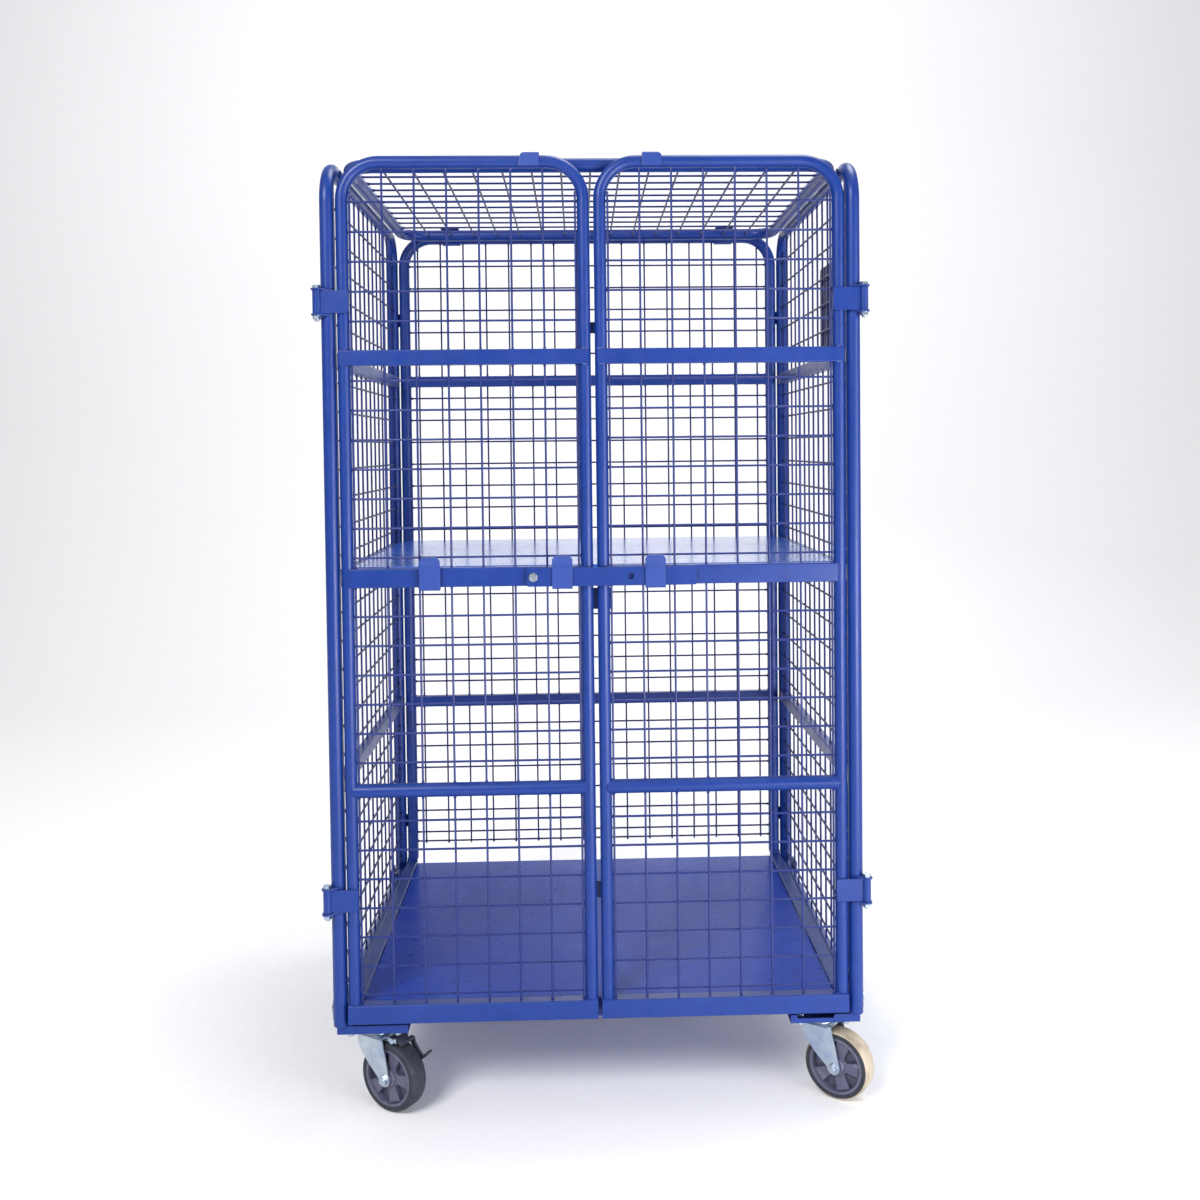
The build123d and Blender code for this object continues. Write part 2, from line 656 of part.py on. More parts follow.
def shelf_pins():
    """Headed pivot pins."""
    # radius, inner and outer end: shank, inner head, outer head
    pieces = ((5.0, 418, 433), (8.0, 417, 420.9), (8.0, 428.6, 431.5))
    with BuildPart() as part:
        for side in (-1, 1):
            for radius, x0, x1 in pieces:
                rod(radius, (side * x0, SHELF_PIN_Y, SHELF_PIN_Z),
                    (side * x1, SHELF_PIN_Y, SHELF_PIN_Z))
    return part.part


# ---- caster plates, in the cage's frame ----
def caster_plate(x, y):
    box(x - 52.5, x + 52.5, y - 42.5, y + 42.5, PLATE_BOTTOM, PLATE_TOP)
    for hole in plate_holes(x, y):
        rod(BOLT_HOLE, (*hole, PLATE_BOTTOM - 1), (*hole, PLATE_TOP + 1), Mode.SUBTRACT)


def caster_plates_front():
    """Plates with the fixed half of the swivel head."""
    with BuildPart() as part:
        for place in ((-CASTER_X, CASTER_FRONT), (CASTER_X, CASTER_FRONT)):
            caster_plate(*place)
            for radius, z0, z1 in ((25, 141.5, 148.2), (6.0, 130.5, 142), (10.0, 128, 133.9)):
                rod(radius, (*place, z0), (*place, z1))
    return part.part


def caster_plates_rear():
    with BuildPart() as part:
        for x in (-CASTER_X, CASTER_X):
            caster_plate(x, CASTER_REAR)
    return part.part


# ---- forks and brake: Z on the swivel axis, X along the trail, axle along Y ----
def fork_legs(outline, axle_x):
    """Two tapering legs with rounded lower ends around the axle; outline in x, z."""
    for y in (-LEG_OUT, LEG_IN):
        with BuildSketch(xz_plane(y)) as leg:
            with BuildLine():
                Polyline(*outline, close=True)
            make_face()
            with Locations((axle_x, WHEEL_R)):
                Circle(12)
        extrude(leg.sketch, amount=LEG_IN - LEG_OUT)


def axle_hole(axle_x):
    with Locations((axle_x, 0, WHEEL_R)):
        Cylinder(AXLE_HOLE, 70, rotation=(90, 0, 0), mode=Mode.SUBTRACT)


def swivel_fork(brake=False):
    """Crown, raceway dome and two legs; with brake, also two lugs for the brake pin."""
    outline = [(-22, CROWN_TOP), (34, CROWN_TOP), (TRAIL + 11.6, 66), (TRAIL + 11.6, WHEEL_R),
               (TRAIL - 10.5, WHEEL_R - 5), (4, 82), (-12, 100), (-19, 111), (-22, 122)]
    with BuildPart() as part:
        with BuildSketch(Plane.XY.offset(CROWN_BOTTOM)):
            Circle(29)
            with Locations((6, 0)):
                Rectangle(56, 56)
        extrude(amount=CROWN_TOP - CROWN_BOTTOM)
        with Locations((0, 0, 139.2)):
            Cylinder(27, 3.8)
        fork_legs(outline, TRAIL)
        with Locations((0, 0, 138)):
            Cylinder(6.08, 12, mode=Mode.SUBTRACT)
        axle_hole(TRAIL)
        if brake:
            for y in (-18, 15):
                box(26, 58, y, y + 3, 129, CROWN_TOP)
            rod(3.05, (PIN_X, -19, PIN_Z), (PIN_X, 19, PIN_Z), Mode.SUBTRACT)
    return part.part


def rear_fork():
    """Fixed fork, its axle straight below the plate."""
    outline = [(-40, CROWN_TOP), (40, CROWN_TOP), (11.8, 64), (11.8, 60), (-11.8, 60),
               (-11.8, 64)]
    with BuildPart() as part:
        box(-44, 44, -LEG_OUT, LEG_OUT, CROWN_BOTTOM, CROWN_TOP)
        fork_legs(outline, 0)
        with Locations((0, 0, 142.5)):
            Cylinder(25, 11)
        axle_hole(0)
    return part.part


def axle(axle_x):
    """Axle bolt with its hexagon head and nut."""
    with BuildPart() as part:
        with Locations((axle_x, 0, WHEEL_R)):
            Cylinder(AXLE, 68, rotation=(90, 0, 0))
        for end in (-1, 1):
            hexagon(15, (axle_x, end * 28.05, WHEEL_R), (axle_x, end * 33.5, WHEEL_R))
    return part.part


def brake_pedal():
    """Cam plate between the lugs, with an arm down to a tread bar beside the wheel."""
    # outlines in x, z
    cam = [(46, 129.5), (50, 137), (54, 135.5), (68, 130), (68, 124.5), (62, 126.5),
           (56, 128.6)]
    arm = [(59.5, 130), (68, 130), (71, 120), (80, 108.5), (88, 99.5), (84, 93.5),
           (75, 101), (63, 115), (59.5, 122)]
    tread = [(82, 93.5), (84.5, 90.5), (98.5, 104), (97, 108), (87, 98.5)]
    with BuildPart() as part:
        prism(xz_plane(13), cam, 26)
        box(59.5, 68, 10, 23.5, 124.5, 130)
        prism(xz_plane(23.5), arm, 4)
        prism(xz_plane(36), tread, 16.5)
        rod(3.04, (PIN_X, -15, PIN_Z), (PIN_X, 15, PIN_Z), Mode.SUBTRACT)
    return part.part


def brake_pin():
    with BuildPart() as part:
        rod(3.0, (PIN_X, -20, PIN_Z), (PIN_X, 20, PIN_Z))
        for end in (-1, 1):
            rod(5.0, (PIN_X, end * 18.1, PIN_Z), (PIN_X, end * 20.5, PIN_Z))
    return part.part


# ---- wheels: centred on the origin, axle along Y ----
def tyre():
    """Solid tyre with crowned tread."""
    with BuildPart() as part:
        with BuildSketch(Plane.XY):
            with BuildLine():
                Line((51, -18.5), (57.5, -18.5))
                ThreePointArc((57.5, -18.5), (60.6, -16.6), (61.8, -13))
                ThreePointArc((61.8, -13), (WHEEL_R, 0), (61.8, 13))
                ThreePointArc((61.8, 13), (60.6, 16.6), (57.5, 18.5))
                Line((57.5, 18.5), (51, 18.5))
                Line((51, 18.5), (51, -18.5))
            make_face()
        revolve(axis=Axis.Y)
    return part.part


def rim():
    """Wheel centre: rim ring, five-pocket web and hub."""
    along_y = (90, 0, 0)
    # radius and angle from the pocket's middle, degrees
    pocket = ((21, 13), (21, -13), (42, -19), (42, 19))
    with BuildPart() as part:
        Cylinder(51, 37, rotation=along_y)
        Cylinder(46, 40, rotation=along_y, mode=Mode.SUBTRACT)
        Cylinder(46.5, 10, rotation=along_y)
        for k in range(5):
            middle = math.radians(72 * k + 18)
            points = []
            for radius, degrees in pocket:
                angle = middle + math.radians(degrees)
                points.append((radius * math.cos(angle), radius * math.sin(angle)))
            prism(xz_plane(20), points, 40, Mode.SUBTRACT)
        Cylinder(16, 46, rotation=along_y)
        Cylinder(5.07, 50, rotation=along_y, mode=Mode.SUBTRACT)
    return part.part


# ---- assembly ----
# pieces whose file is named after their function
SINGLE_PIECES = (
    base_frame, deck_sheet, caster_pads, caster_bolts, caster_nuts, panel_clamps, panel_bolts,
    panel_nuts, document_plate, back_frame, back_mesh, back_brackets, hinge_ears, hinge_bolts,
    hinge_nuts, door_stops, latch_bar, latch_bolt, latch_fixings, roof_frame, roof_mesh,
    roof_straps, roof_rests, shelf_sheet, shelf_brackets, shelf_pins, caster_plates_front,
    caster_plates_rear)
shapes = {make.__name__: make() for make in SINGLE_PIECES}

for name, side in (("left", -1), ("right", 1)):
    shapes[f"side_frame_{name}"] = side_frame(side)
    shapes[f"side_mesh_{name}"] = side_mesh(side)
    shapes[f"door_{name}_frame"] = door_frame(side)
    shapes[f"door_{name}_mesh"] = door_mesh(side)
    shapes[f"door_{name}_hinges"] = hinge_leaves(side)
    shapes[f"door_{name}_tab"] = door_tab(side)
shapes["keepers_left"] = keepers(-58, -290)
shapes["keeper_right"] = keepers(106)

# name, x, y, heading in degrees, trail, fork
CASTERS = (
    ("front_left", -CASTER_X, CASTER_FRONT, SWIVEL_LEFT, TRAIL, swivel_fork(brake=True)),
    ("front_right", CASTER_X, CASTER_FRONT, SWIVEL_RIGHT, TRAIL, swivel_fork()),
    ("rear_left", -CASTER_X, CASTER_REAR, 90, 0, rear_fork()),
    ("rear_right", CASTER_X, CASTER_REAR, 90, 0, rear_fork()),
)
wheel_tyre, wheel_rim = tyre(), rim()
for name, x, y, angle, trail, fork in CASTERS:
    pivot = Location((x, y, 0), (0, 0, 1), angle)
    hub = pivot * Location((trail, 0, WHEEL_R))
    shapes["fork_" + name] = fork.moved(pivot)
    shapes["axle_" + name] = axle(trail).moved(pivot)
    shapes["tyre_" + name] = wheel_tyre.moved(hub)
    shapes["rim_" + name] = wheel_rim.moved(hub)
    if name == "front_left":
        shapes["brake_pedal"] = brake_pedal().moved(pivot)
        shapes["brake_pin"] = brake_pin().moved(pivot)

# the origin is the bottom middle of the whole cage, the turned wheels included
bounds = [shape.bounding_box() for shape in shapes.values()]
shift_x = -(min(b.min.X for b in bounds) + max(b.max.X for b in bounds)) / 2
shift_y = -(min(b.min.Y for b in bounds) + max(b.max.Y for b in bounds)) / 2

os.makedirs("parts", exist_ok=True)
for name, shape in shapes.items():
    placed = shape.moved(Location((shift_x, shift_y, 0)))
    placed.label = name
    export_step(placed, f"parts/{name}.step")
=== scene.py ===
"""Wire-mesh cage on four casters, with two doors, a lid, a shelf and a latch between the doors.

Everything is laid out in millimetres: X runs across with 0 where the doors meet (left is -X),
Y runs from the doors (negative) to the back panel, and Z runs up from the floor.
place() turns a layout point into metres of the frame.
"""
import json
import math
import random

import bmesh
import bpy
from mathutils import Matrix, Vector

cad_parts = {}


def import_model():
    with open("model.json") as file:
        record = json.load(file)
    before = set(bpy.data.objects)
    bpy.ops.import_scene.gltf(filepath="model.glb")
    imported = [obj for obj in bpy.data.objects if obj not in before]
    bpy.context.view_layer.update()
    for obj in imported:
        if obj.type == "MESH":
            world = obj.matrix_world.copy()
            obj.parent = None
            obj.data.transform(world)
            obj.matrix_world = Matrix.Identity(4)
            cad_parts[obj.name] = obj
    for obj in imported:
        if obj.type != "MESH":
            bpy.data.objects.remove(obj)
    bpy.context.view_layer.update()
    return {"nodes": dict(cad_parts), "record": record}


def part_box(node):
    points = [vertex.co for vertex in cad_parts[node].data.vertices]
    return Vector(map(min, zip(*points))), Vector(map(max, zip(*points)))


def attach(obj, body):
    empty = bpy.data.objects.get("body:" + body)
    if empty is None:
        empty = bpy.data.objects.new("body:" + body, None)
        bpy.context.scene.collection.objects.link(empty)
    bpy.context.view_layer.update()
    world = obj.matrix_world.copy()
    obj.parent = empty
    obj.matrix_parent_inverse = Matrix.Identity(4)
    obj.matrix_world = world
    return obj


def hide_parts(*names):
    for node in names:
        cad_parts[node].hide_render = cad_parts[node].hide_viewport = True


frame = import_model()
rnd = random.Random(7)

# ---------------------------------------------------------------- driving sizes, in millimetres
DOOR_Y = -391.5             # plane of the doors
POST_Y = DOOR_Y + 3         # front posts
BACK_Y = 403.5              # back panel and rear posts
POST_X = 462.5              # side panels
BACK_X = 435.0              # uprights of the back frame
POST_R = 12.5               # tube radius of the sides, back and lid
DOOR_R = 11.0               # tube radius of the doors
BEND = 65.0                 # corner radius of the tube frames
LID_BEND = 50.0
SIDE_TOP, BACK_TOP, LID_Z, DOOR_TOP = 1692.0, 1690.0, 1693.5, 1694.5
SIDE_FOOT = 179.5           # bottom tube of the side panels

WIRE_R = 2.0
LAYER = 2.02                # offset of each wire layer from the panel's plane
BITE = 0.6                  # how far a wire end sinks into its tube or rail
ROW_FOOT, ROW_PITCH = 222.0, 52

RAIL_HALF = 12.5            # half height of the side and back rails
SIDE_RAILS = (591, 960, 1353)
BACK_RAILS = (591, 1353)

STILE_IN, STILE_OUT = 14.5, 436.0
DOOR_SILL, DOOR_MID, DOOR_HIGH = (174, 208), (950, 984), (1340, 1367)   # bottom, top
DOOR_BAR_Z = 589            # round cross bar
DOOR_BAR_R = 12.5

HINGE_X, HINGE_Y = 479.0, DOOR_Y - 13
HINGE_Z = (1451.0, 397.0)
LATCH_X, LATCH_Z = -109.0, 966.0
LID_X, LID_Y0, LID_Y1 = 431.5, DOOR_Y + 26, BACK_Y - 28

CASTER_X, CASTER_FRONT_Y, CASTER_REAR_Y = 406.0, -337.0, 349.0
WHEEL_R = 62.5
TRAIL = 38.0                # axle's offset from the swivel on the front casters
CROWN_TOP = 137.5           # top of the caster forks

BOLT_R = 4.0
HEX = 13                    # across flats of the bolt heads and nuts

SIDES = ((-1, "left"), (1, "right"))
HINGES = [(side, z) for side in (-1, 1) for z in HINGE_Z]
CASTER_SPOTS = [(side * CASTER_X, y) for side in (-1, 1) for y in (CASTER_FRONT_Y, CASTER_REAR_Y)]
CASTER_BOLTS = [(x + dx, y + dy) for x, y in CASTER_SPOTS for dx in (-42, 42) for dy in (-32, 32)]

# the layout's origin in the frame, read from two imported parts
latch_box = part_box("latch_bar")
SHIFT_X = (latch_box[0].x + latch_box[1].x) * 500 - 29.0
mesh_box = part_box("door_left_mesh")
SHIFT_Y = (mesh_box[0].y + mesh_box[1].y) * 500 - DOOR_Y


def place(x, y, z):
    return Vector(((x + SHIFT_X) / 1000, (y + SHIFT_Y) / 1000, z / 1000))


# ---------------------------------------------------------------- materials
class Shader:
    """A Principled material fed by noise in object coordinates."""

    def __init__(self, name):
        self.material = bpy.data.materials.new(name)
        self.material.use_nodes = True
        self.tree = self.material.node_tree
        self.tree.nodes.clear()
        output = self.node("OutputMaterial")
        self.bsdf = self.node("BsdfPrincipled")
        self.tree.links.new(self.bsdf.outputs["BSDF"], output.inputs["Surface"])
        self.coord = self.node("TexCoord")

    def node(self, kind):
        return self.tree.nodes.new("ShaderNode" + kind)

    def feed(self, socket, value):
        """Links an output to the socket, or sets a plain value on it."""
        if isinstance(value, bpy.types.NodeSocket):
            self.tree.links.new(value, socket)
        else:
            socket.default_value = value

    def surface(self, values):
        for name, value in values.items():
            self.feed(self.bsdf.inputs[name], value)

    def noise(self, scale, detail, rough, stretch=None):
        noise = self.node("TexNoise")
        self.feed(noise.inputs["Scale"], scale)
        self.feed(noise.inputs["Detail"], detail)
        self.feed(noise.inputs["Roughness"], rough)
        vector = self.coord.outputs["Object"]
        if stretch:
            mapping = self.node("Mapping")
            self.feed(mapping.inputs["Scale"], stretch)
            self.feed(mapping.inputs["Vector"], vector)
            vector = mapping.outputs["Vector"]
        self.feed(noise.inputs["Vector"], vector)
        return noise.outputs["Fac"]

    def ramp(self, value, span, to=(0.0, 1.0)):
        ramp = self.node("MapRange")
        self.feed(ramp.inputs["From Min"], span[0])
        self.feed(ramp.inputs["From Max"], span[1])
        self.feed(ramp.inputs["To Min"], to[0])
        self.feed(ramp.inputs["To Max"], to[1])
        ramp.clamp = True
        self.feed(ramp.inputs["Value"], value)
        return ramp.outputs[0]

    def patches(self, scale, detail, rough, span, to=(0.0, 1.0), stretch=None):
        """Noise whose span of values is spread over another range."""
        return self.ramp(self.noise(scale, detail, rough, stretch), span, to)

    def mix(self, factor, first, second):
        mix = self.node("Mix")
        mix.data_type = "RGBA"
        self.feed(mix.inputs[0], factor)
        for socket, value in ((mix.inputs[6], first), (mix.inputs[7], second)):
            self.feed(socket, (*value, 1.0) if isinstance(value, tuple) else value)
        return mix.outputs[2]

    def math(self, operation, first, second):
        node = self.node("Math")
        node.operation = operation
        self.feed(node.inputs[0], first)
        self.feed(node.inputs[1], second)
        return node.outputs[0]

    def bump(self, height, strength, distance):
        bump = self.node("Bump")
        self.feed(bump.inputs["Strength"], strength)
        self.feed(bump.inputs["Distance"], distance)
        self.feed(bump.inputs["Height"], height)
        self.feed(self.bsdf.inputs["Normal"], bump.outputs["Normal"])


def srgb(*levels):
    """Linear colour from 0-255 display levels."""
    def linear(level):
        value = level / 255
        return value / 12.92 if value <= 0.04045 else ((value + 0.055) / 1.055) ** 2.4
    return tuple(linear(level) for level in levels)


def paint(name, deep, violet, rough=(0.30, 0.44), peel=0.10, wave=0.0, scratch=0.0, dust=0.12,
          coat=0.10, chip=1.0, specular=0.38):
    """Powder coat: tint drift, orange peel, dust on upward faces, rubbed lines and fine chips."""
    sh = Shader(name)
    geometry = sh.node("NewGeometry")
    # slow drift between the two tints, pale specks, darker mottling
    drift = sh.patches(scale=2.3, detail=4.0, rough=0.55, span=(0.35, 0.68))
    color = sh.mix(drift, deep, violet)
    specks = sh.patches(scale=340.0, detail=2.0, rough=0.6, span=(0.55, 0.8), to=(0.0, 0.16))
    color = sh.mix(specks, color, tuple(min(1, c * 2.0 + 0.02) for c in deep))
    mottling = sh.patches(scale=28.0, detail=5.0, rough=0.65, span=(0.45, 0.75), to=(0.0, 0.35))
    color = sh.mix(mottling, color, tuple(c * 0.62 for c in deep))
    # dust lies on upward faces
    split = sh.node("SeparateXYZ")
    sh.feed(split.inputs["Vector"], geometry.outputs["Normal"])
    upward = sh.ramp(split.outputs["Z"], span=(0.35, 1.0))
    dusty = sh.patches(scale=17.0, detail=6.0, rough=0.7, span=(0.35, 0.75),
                       to=(0.15 * dust, dust))
    dust_amount = sh.math("MULTIPLY", upward, dusty)
    color = sh.mix(dust_amount, color, (0.30, 0.36, 0.58))
    # small chips that show the grey primer
    chips = sh.patches(scale=120.0, detail=4.0, rough=0.75, span=(0.70, 0.74))
    chipped_areas = sh.patches(scale=5.0, detail=2.0, rough=0.5, span=(0.55, 0.68))
    chips = sh.math("MULTIPLY", chips, chipped_areas)
    color = sh.mix(sh.math("MULTIPLY", chips, chip), color, (0.13, 0.15, 0.25))
    roughness = sh.patches(scale=34.0, detail=4.0, rough=0.6, span=(0.3, 0.7), to=rough)
    roughness = sh.math("ADD", roughness, sh.math("MULTIPLY", dust_amount, 0.5))
    if scratch:
        # two sets of rubbed lines, from noise squeezed along Y or along X
        along_x = sh.patches(scale=9.0, detail=3.0, rough=0.6, span=(0.66, 0.70),
                             stretch=(1.0, 46.0, 1.0))
        along_y = sh.patches(scale=7.0, detail=3.0, rough=0.6, span=(0.67, 0.71),
                             stretch=(60.0, 1.6, 1.0))
        lines = sh.math("MAXIMUM", along_x, along_y)
        roughness = sh.math("ADD", roughness, sh.math("MULTIPLY", lines, 0.18 * scratch))
        color = sh.mix(sh.math("MULTIPLY", lines, 0.22 * scratch), color, (0.30, 0.36, 0.62))
    sh.surface({
        "Base Color": color,
        "Roughness": roughness,
        "Specular IOR Level": specular,
        "Coat Weight": coat,
        "Coat Roughness": 0.16,
    })
    height = sh.patches(scale=620.0, detail=2.0, rough=0.5, span=(0.3, 0.7))
    if wave:
        slow = sh.patches(scale=3.4, detail=1.5, rough=0.4, span=(0.2, 0.8), to=(0.0, wave))
        height = sh.math("ADD", height, slow)
    sh.bump(height, strength=peel, distance=0.0006)
    return sh.material


def metal(name, dark, light, rough, metallic=0.95):
    """Mottled grey metal with dull spots and a fine grain."""
    sh = Shader(name)
    mottling = sh.patches(scale=22.0, detail=4.0, rough=0.6, span=(0.35, 0.68))
    color = sh.mix(mottling, dark, light)
    spots = sh.patches(scale=75.0, detail=5.0, rough=0.7, span=(0.58, 0.72), to=(0.0, 0.4))
    color = sh.mix(spots, color, (0.30, 0.33, 0.38))
    sh.surface({
        "Base Color": color,
        "Metallic": metallic,
        "Roughness": sh.patches(scale=60.0, detail=4.0, rough=0.6, span=(0.3, 0.7), to=rough),
    })
    sh.bump(sh.noise(scale=260.0, detail=4.0, rough=0.7), strength=0.12, distance=0.0005)
    return sh.material


def rubber(name, base, dusty, amount, span=(0.4, 0.72)):
    """Rubber with large dust patches and fine pale grain."""
    sh = Shader(name)
    large = sh.patches(scale=26.0, detail=6.0, rough=0.7, span=span, to=(0.0, amount))
    grain = sh.patches(scale=420.0, detail=3.0, rough=0.7, span=(0.4, 0.8), to=(0.0, 0.35))
    color = sh.mix(large, base, dusty)
    grain = sh.math("MULTIPLY", grain, amount)
    color = sh.mix(grain, color, tuple(c * 1.3 for c in dusty))
    roughness = sh.patches(scale=90.0, detail=3.0, rough=0.6, span=(0.3, 0.7), to=(0.55, 0.85))
    sh.surface({"Base Color": color, "Roughness": roughness})
    sh.bump(sh.noise(scale=500.0, detail=5.0, rough=0.75), strength=0.35, distance=0.0006)
    return sh.material


POWDER = paint("powder_blue", deep=srgb(4, 43, 116), violet=srgb(20, 50, 124), specular=0.30)
MESH = paint("mesh_blue", deep=srgb(9, 30, 98), violet=srgb(18, 36, 104), rough=(0.36, 0.48),
             dust=0.05)
# Darker, less shiny copy of the mesh paint for the side, back and lid wires: painted shade for the
# shaded inside of the cage.
MESH_PAINTED_SHADE = paint("mesh_blue_painted_shade", deep=srgb(6, 23, 86), violet=srgb(14, 30, 94),
                   rough=(0.42, 0.54), dust=0.03, specular=0.25)
DECK = paint("sheet_blue", deep=srgb(16, 54, 152), violet=srgb(26, 66, 168), rough=(0.26, 0.36),
             wave=1.2, scratch=0.15, dust=0.01, chip=0.1, coat=0.0, specular=0.10)
SHELF = paint("shelf_blue", deep=srgb(34, 84, 184), violet=srgb(46, 98, 196), rough=(0.15, 0.24),
              peel=0.14, wave=2.2, scratch=0.4, dust=0.10, coat=0.6, chip=0.3)
PLATE = paint("plate_blue", deep=srgb(16, 28, 84), violet=srgb(24, 34, 94), rough=(0.34, 0.44),
              wave=0.8, scratch=0.4)
KEEPER = paint("keeper_blue", deep=srgb(22, 54, 126), violet=srgb(38, 62, 136),
               rough=(0.34, 0.46), dust=0.2)
ZINC = metal("zinc", dark=(0.30, 0.38, 0.52), light=(0.52, 0.57, 0.63), rough=(0.20, 0.36))
RUBBER = rubber("tyre_rubber", base=(0.011, 0.014, 0.024), dusty=(0.034, 0.040, 0.058),
                amount=0.5)
DUSTY_TREAD = rubber("tyre_dusty_tread", base=(0.19, 0.16, 0.12), dusty=(0.42, 0.36, 0.27),
                     amount=1.0, span=(0.30, 0.60))
RIM = metal("rim_grey", dark=(0.075, 0.078, 0.135), light=(0.105, 0.105, 0.165),
            rough=(0.45, 0.62), metallic=0.15)
BLACK = paint("black_steel", deep=(0.014, 0.016, 0.026), violet=(0.024, 0.025, 0.036),
              rough=(0.36, 0.55), dust=0.2)
WELD = paint("weld_blue", deep=srgb(10, 42, 118), violet=srgb(26, 50, 130), rough=(0.26, 0.38),
             peel=0.3)
SLOT_MATERIALS = {
    "powder_blue": POWDER, "mesh_blue": MESH, "sheet_blue": DECK, "zinc": ZINC,
    "tyre": RUBBER, "rim": RIM, "black_steel": BLACK,
}


# ---------------------------------------------------------------- outlines and directions
def arc(u, v, radius, start, sweep, steps):
    """Points on a circle about (u, v), from start through sweep degrees, both ends included."""
    turns = [math.radians(start + sweep * i / steps) for i in range(steps + 1)]
    return [(u + radius * math.cos(t), v + radius * math.sin(t)) for t in turns]


def rounded_rect(u0, u1, v0, v1, radius, steps):
    centre_u, centre_v = (u0 + u1) / 2, (v0 + v1) / 2
    half_u, half_v = abs(u1 - u0) / 2 - radius, abs(v1 - v0) / 2 - radius
    points = []
    for sign_u, sign_v, start in ((1, 1, 0), (-1, 1, 90), (-1, -1, 180), (1, -1, 270)):
        points += arc(centre_u + sign_u * half_u, centre_v + sign_v * half_v,
                      radius, start, 90, steps)
    return points


def mirrored(half):
    """Lathe profile from its positive half, mirrored along the axis."""
    return [(-along, radius) for along, radius in half] + half[::-1]


def on_axis(axis, along, u, v):
    """Point from its place along an axis and its other two coordinates in order."""
    return Vector({"x": (along, u, v), "y": (u, along, v), "z": (u, v, along)}[axis])


def axes_across(along):
    """Two unit vectors square to a unit direction and to each other."""
    reference = Vector((0, 0, 1)) if abs(along.z) < 0.9 else Vector((1, 0, 0))
    x = along.cross(reference).normalized()
    return x, along.cross(x)


def circle(centre, radius, x, y, segments):
    turns = [2 * math.pi * j / segments for j in range(segments)]
    return [centre + (x * math.cos(t) + y * math.sin(t)) * radius for t in turns]


def saddle(radius, offset):
    """Depth of a round tube's surface at an offset from its centre plane."""
    return math.sqrt(radius ** 2 - min(abs(offset), radius - 0.4) ** 2)


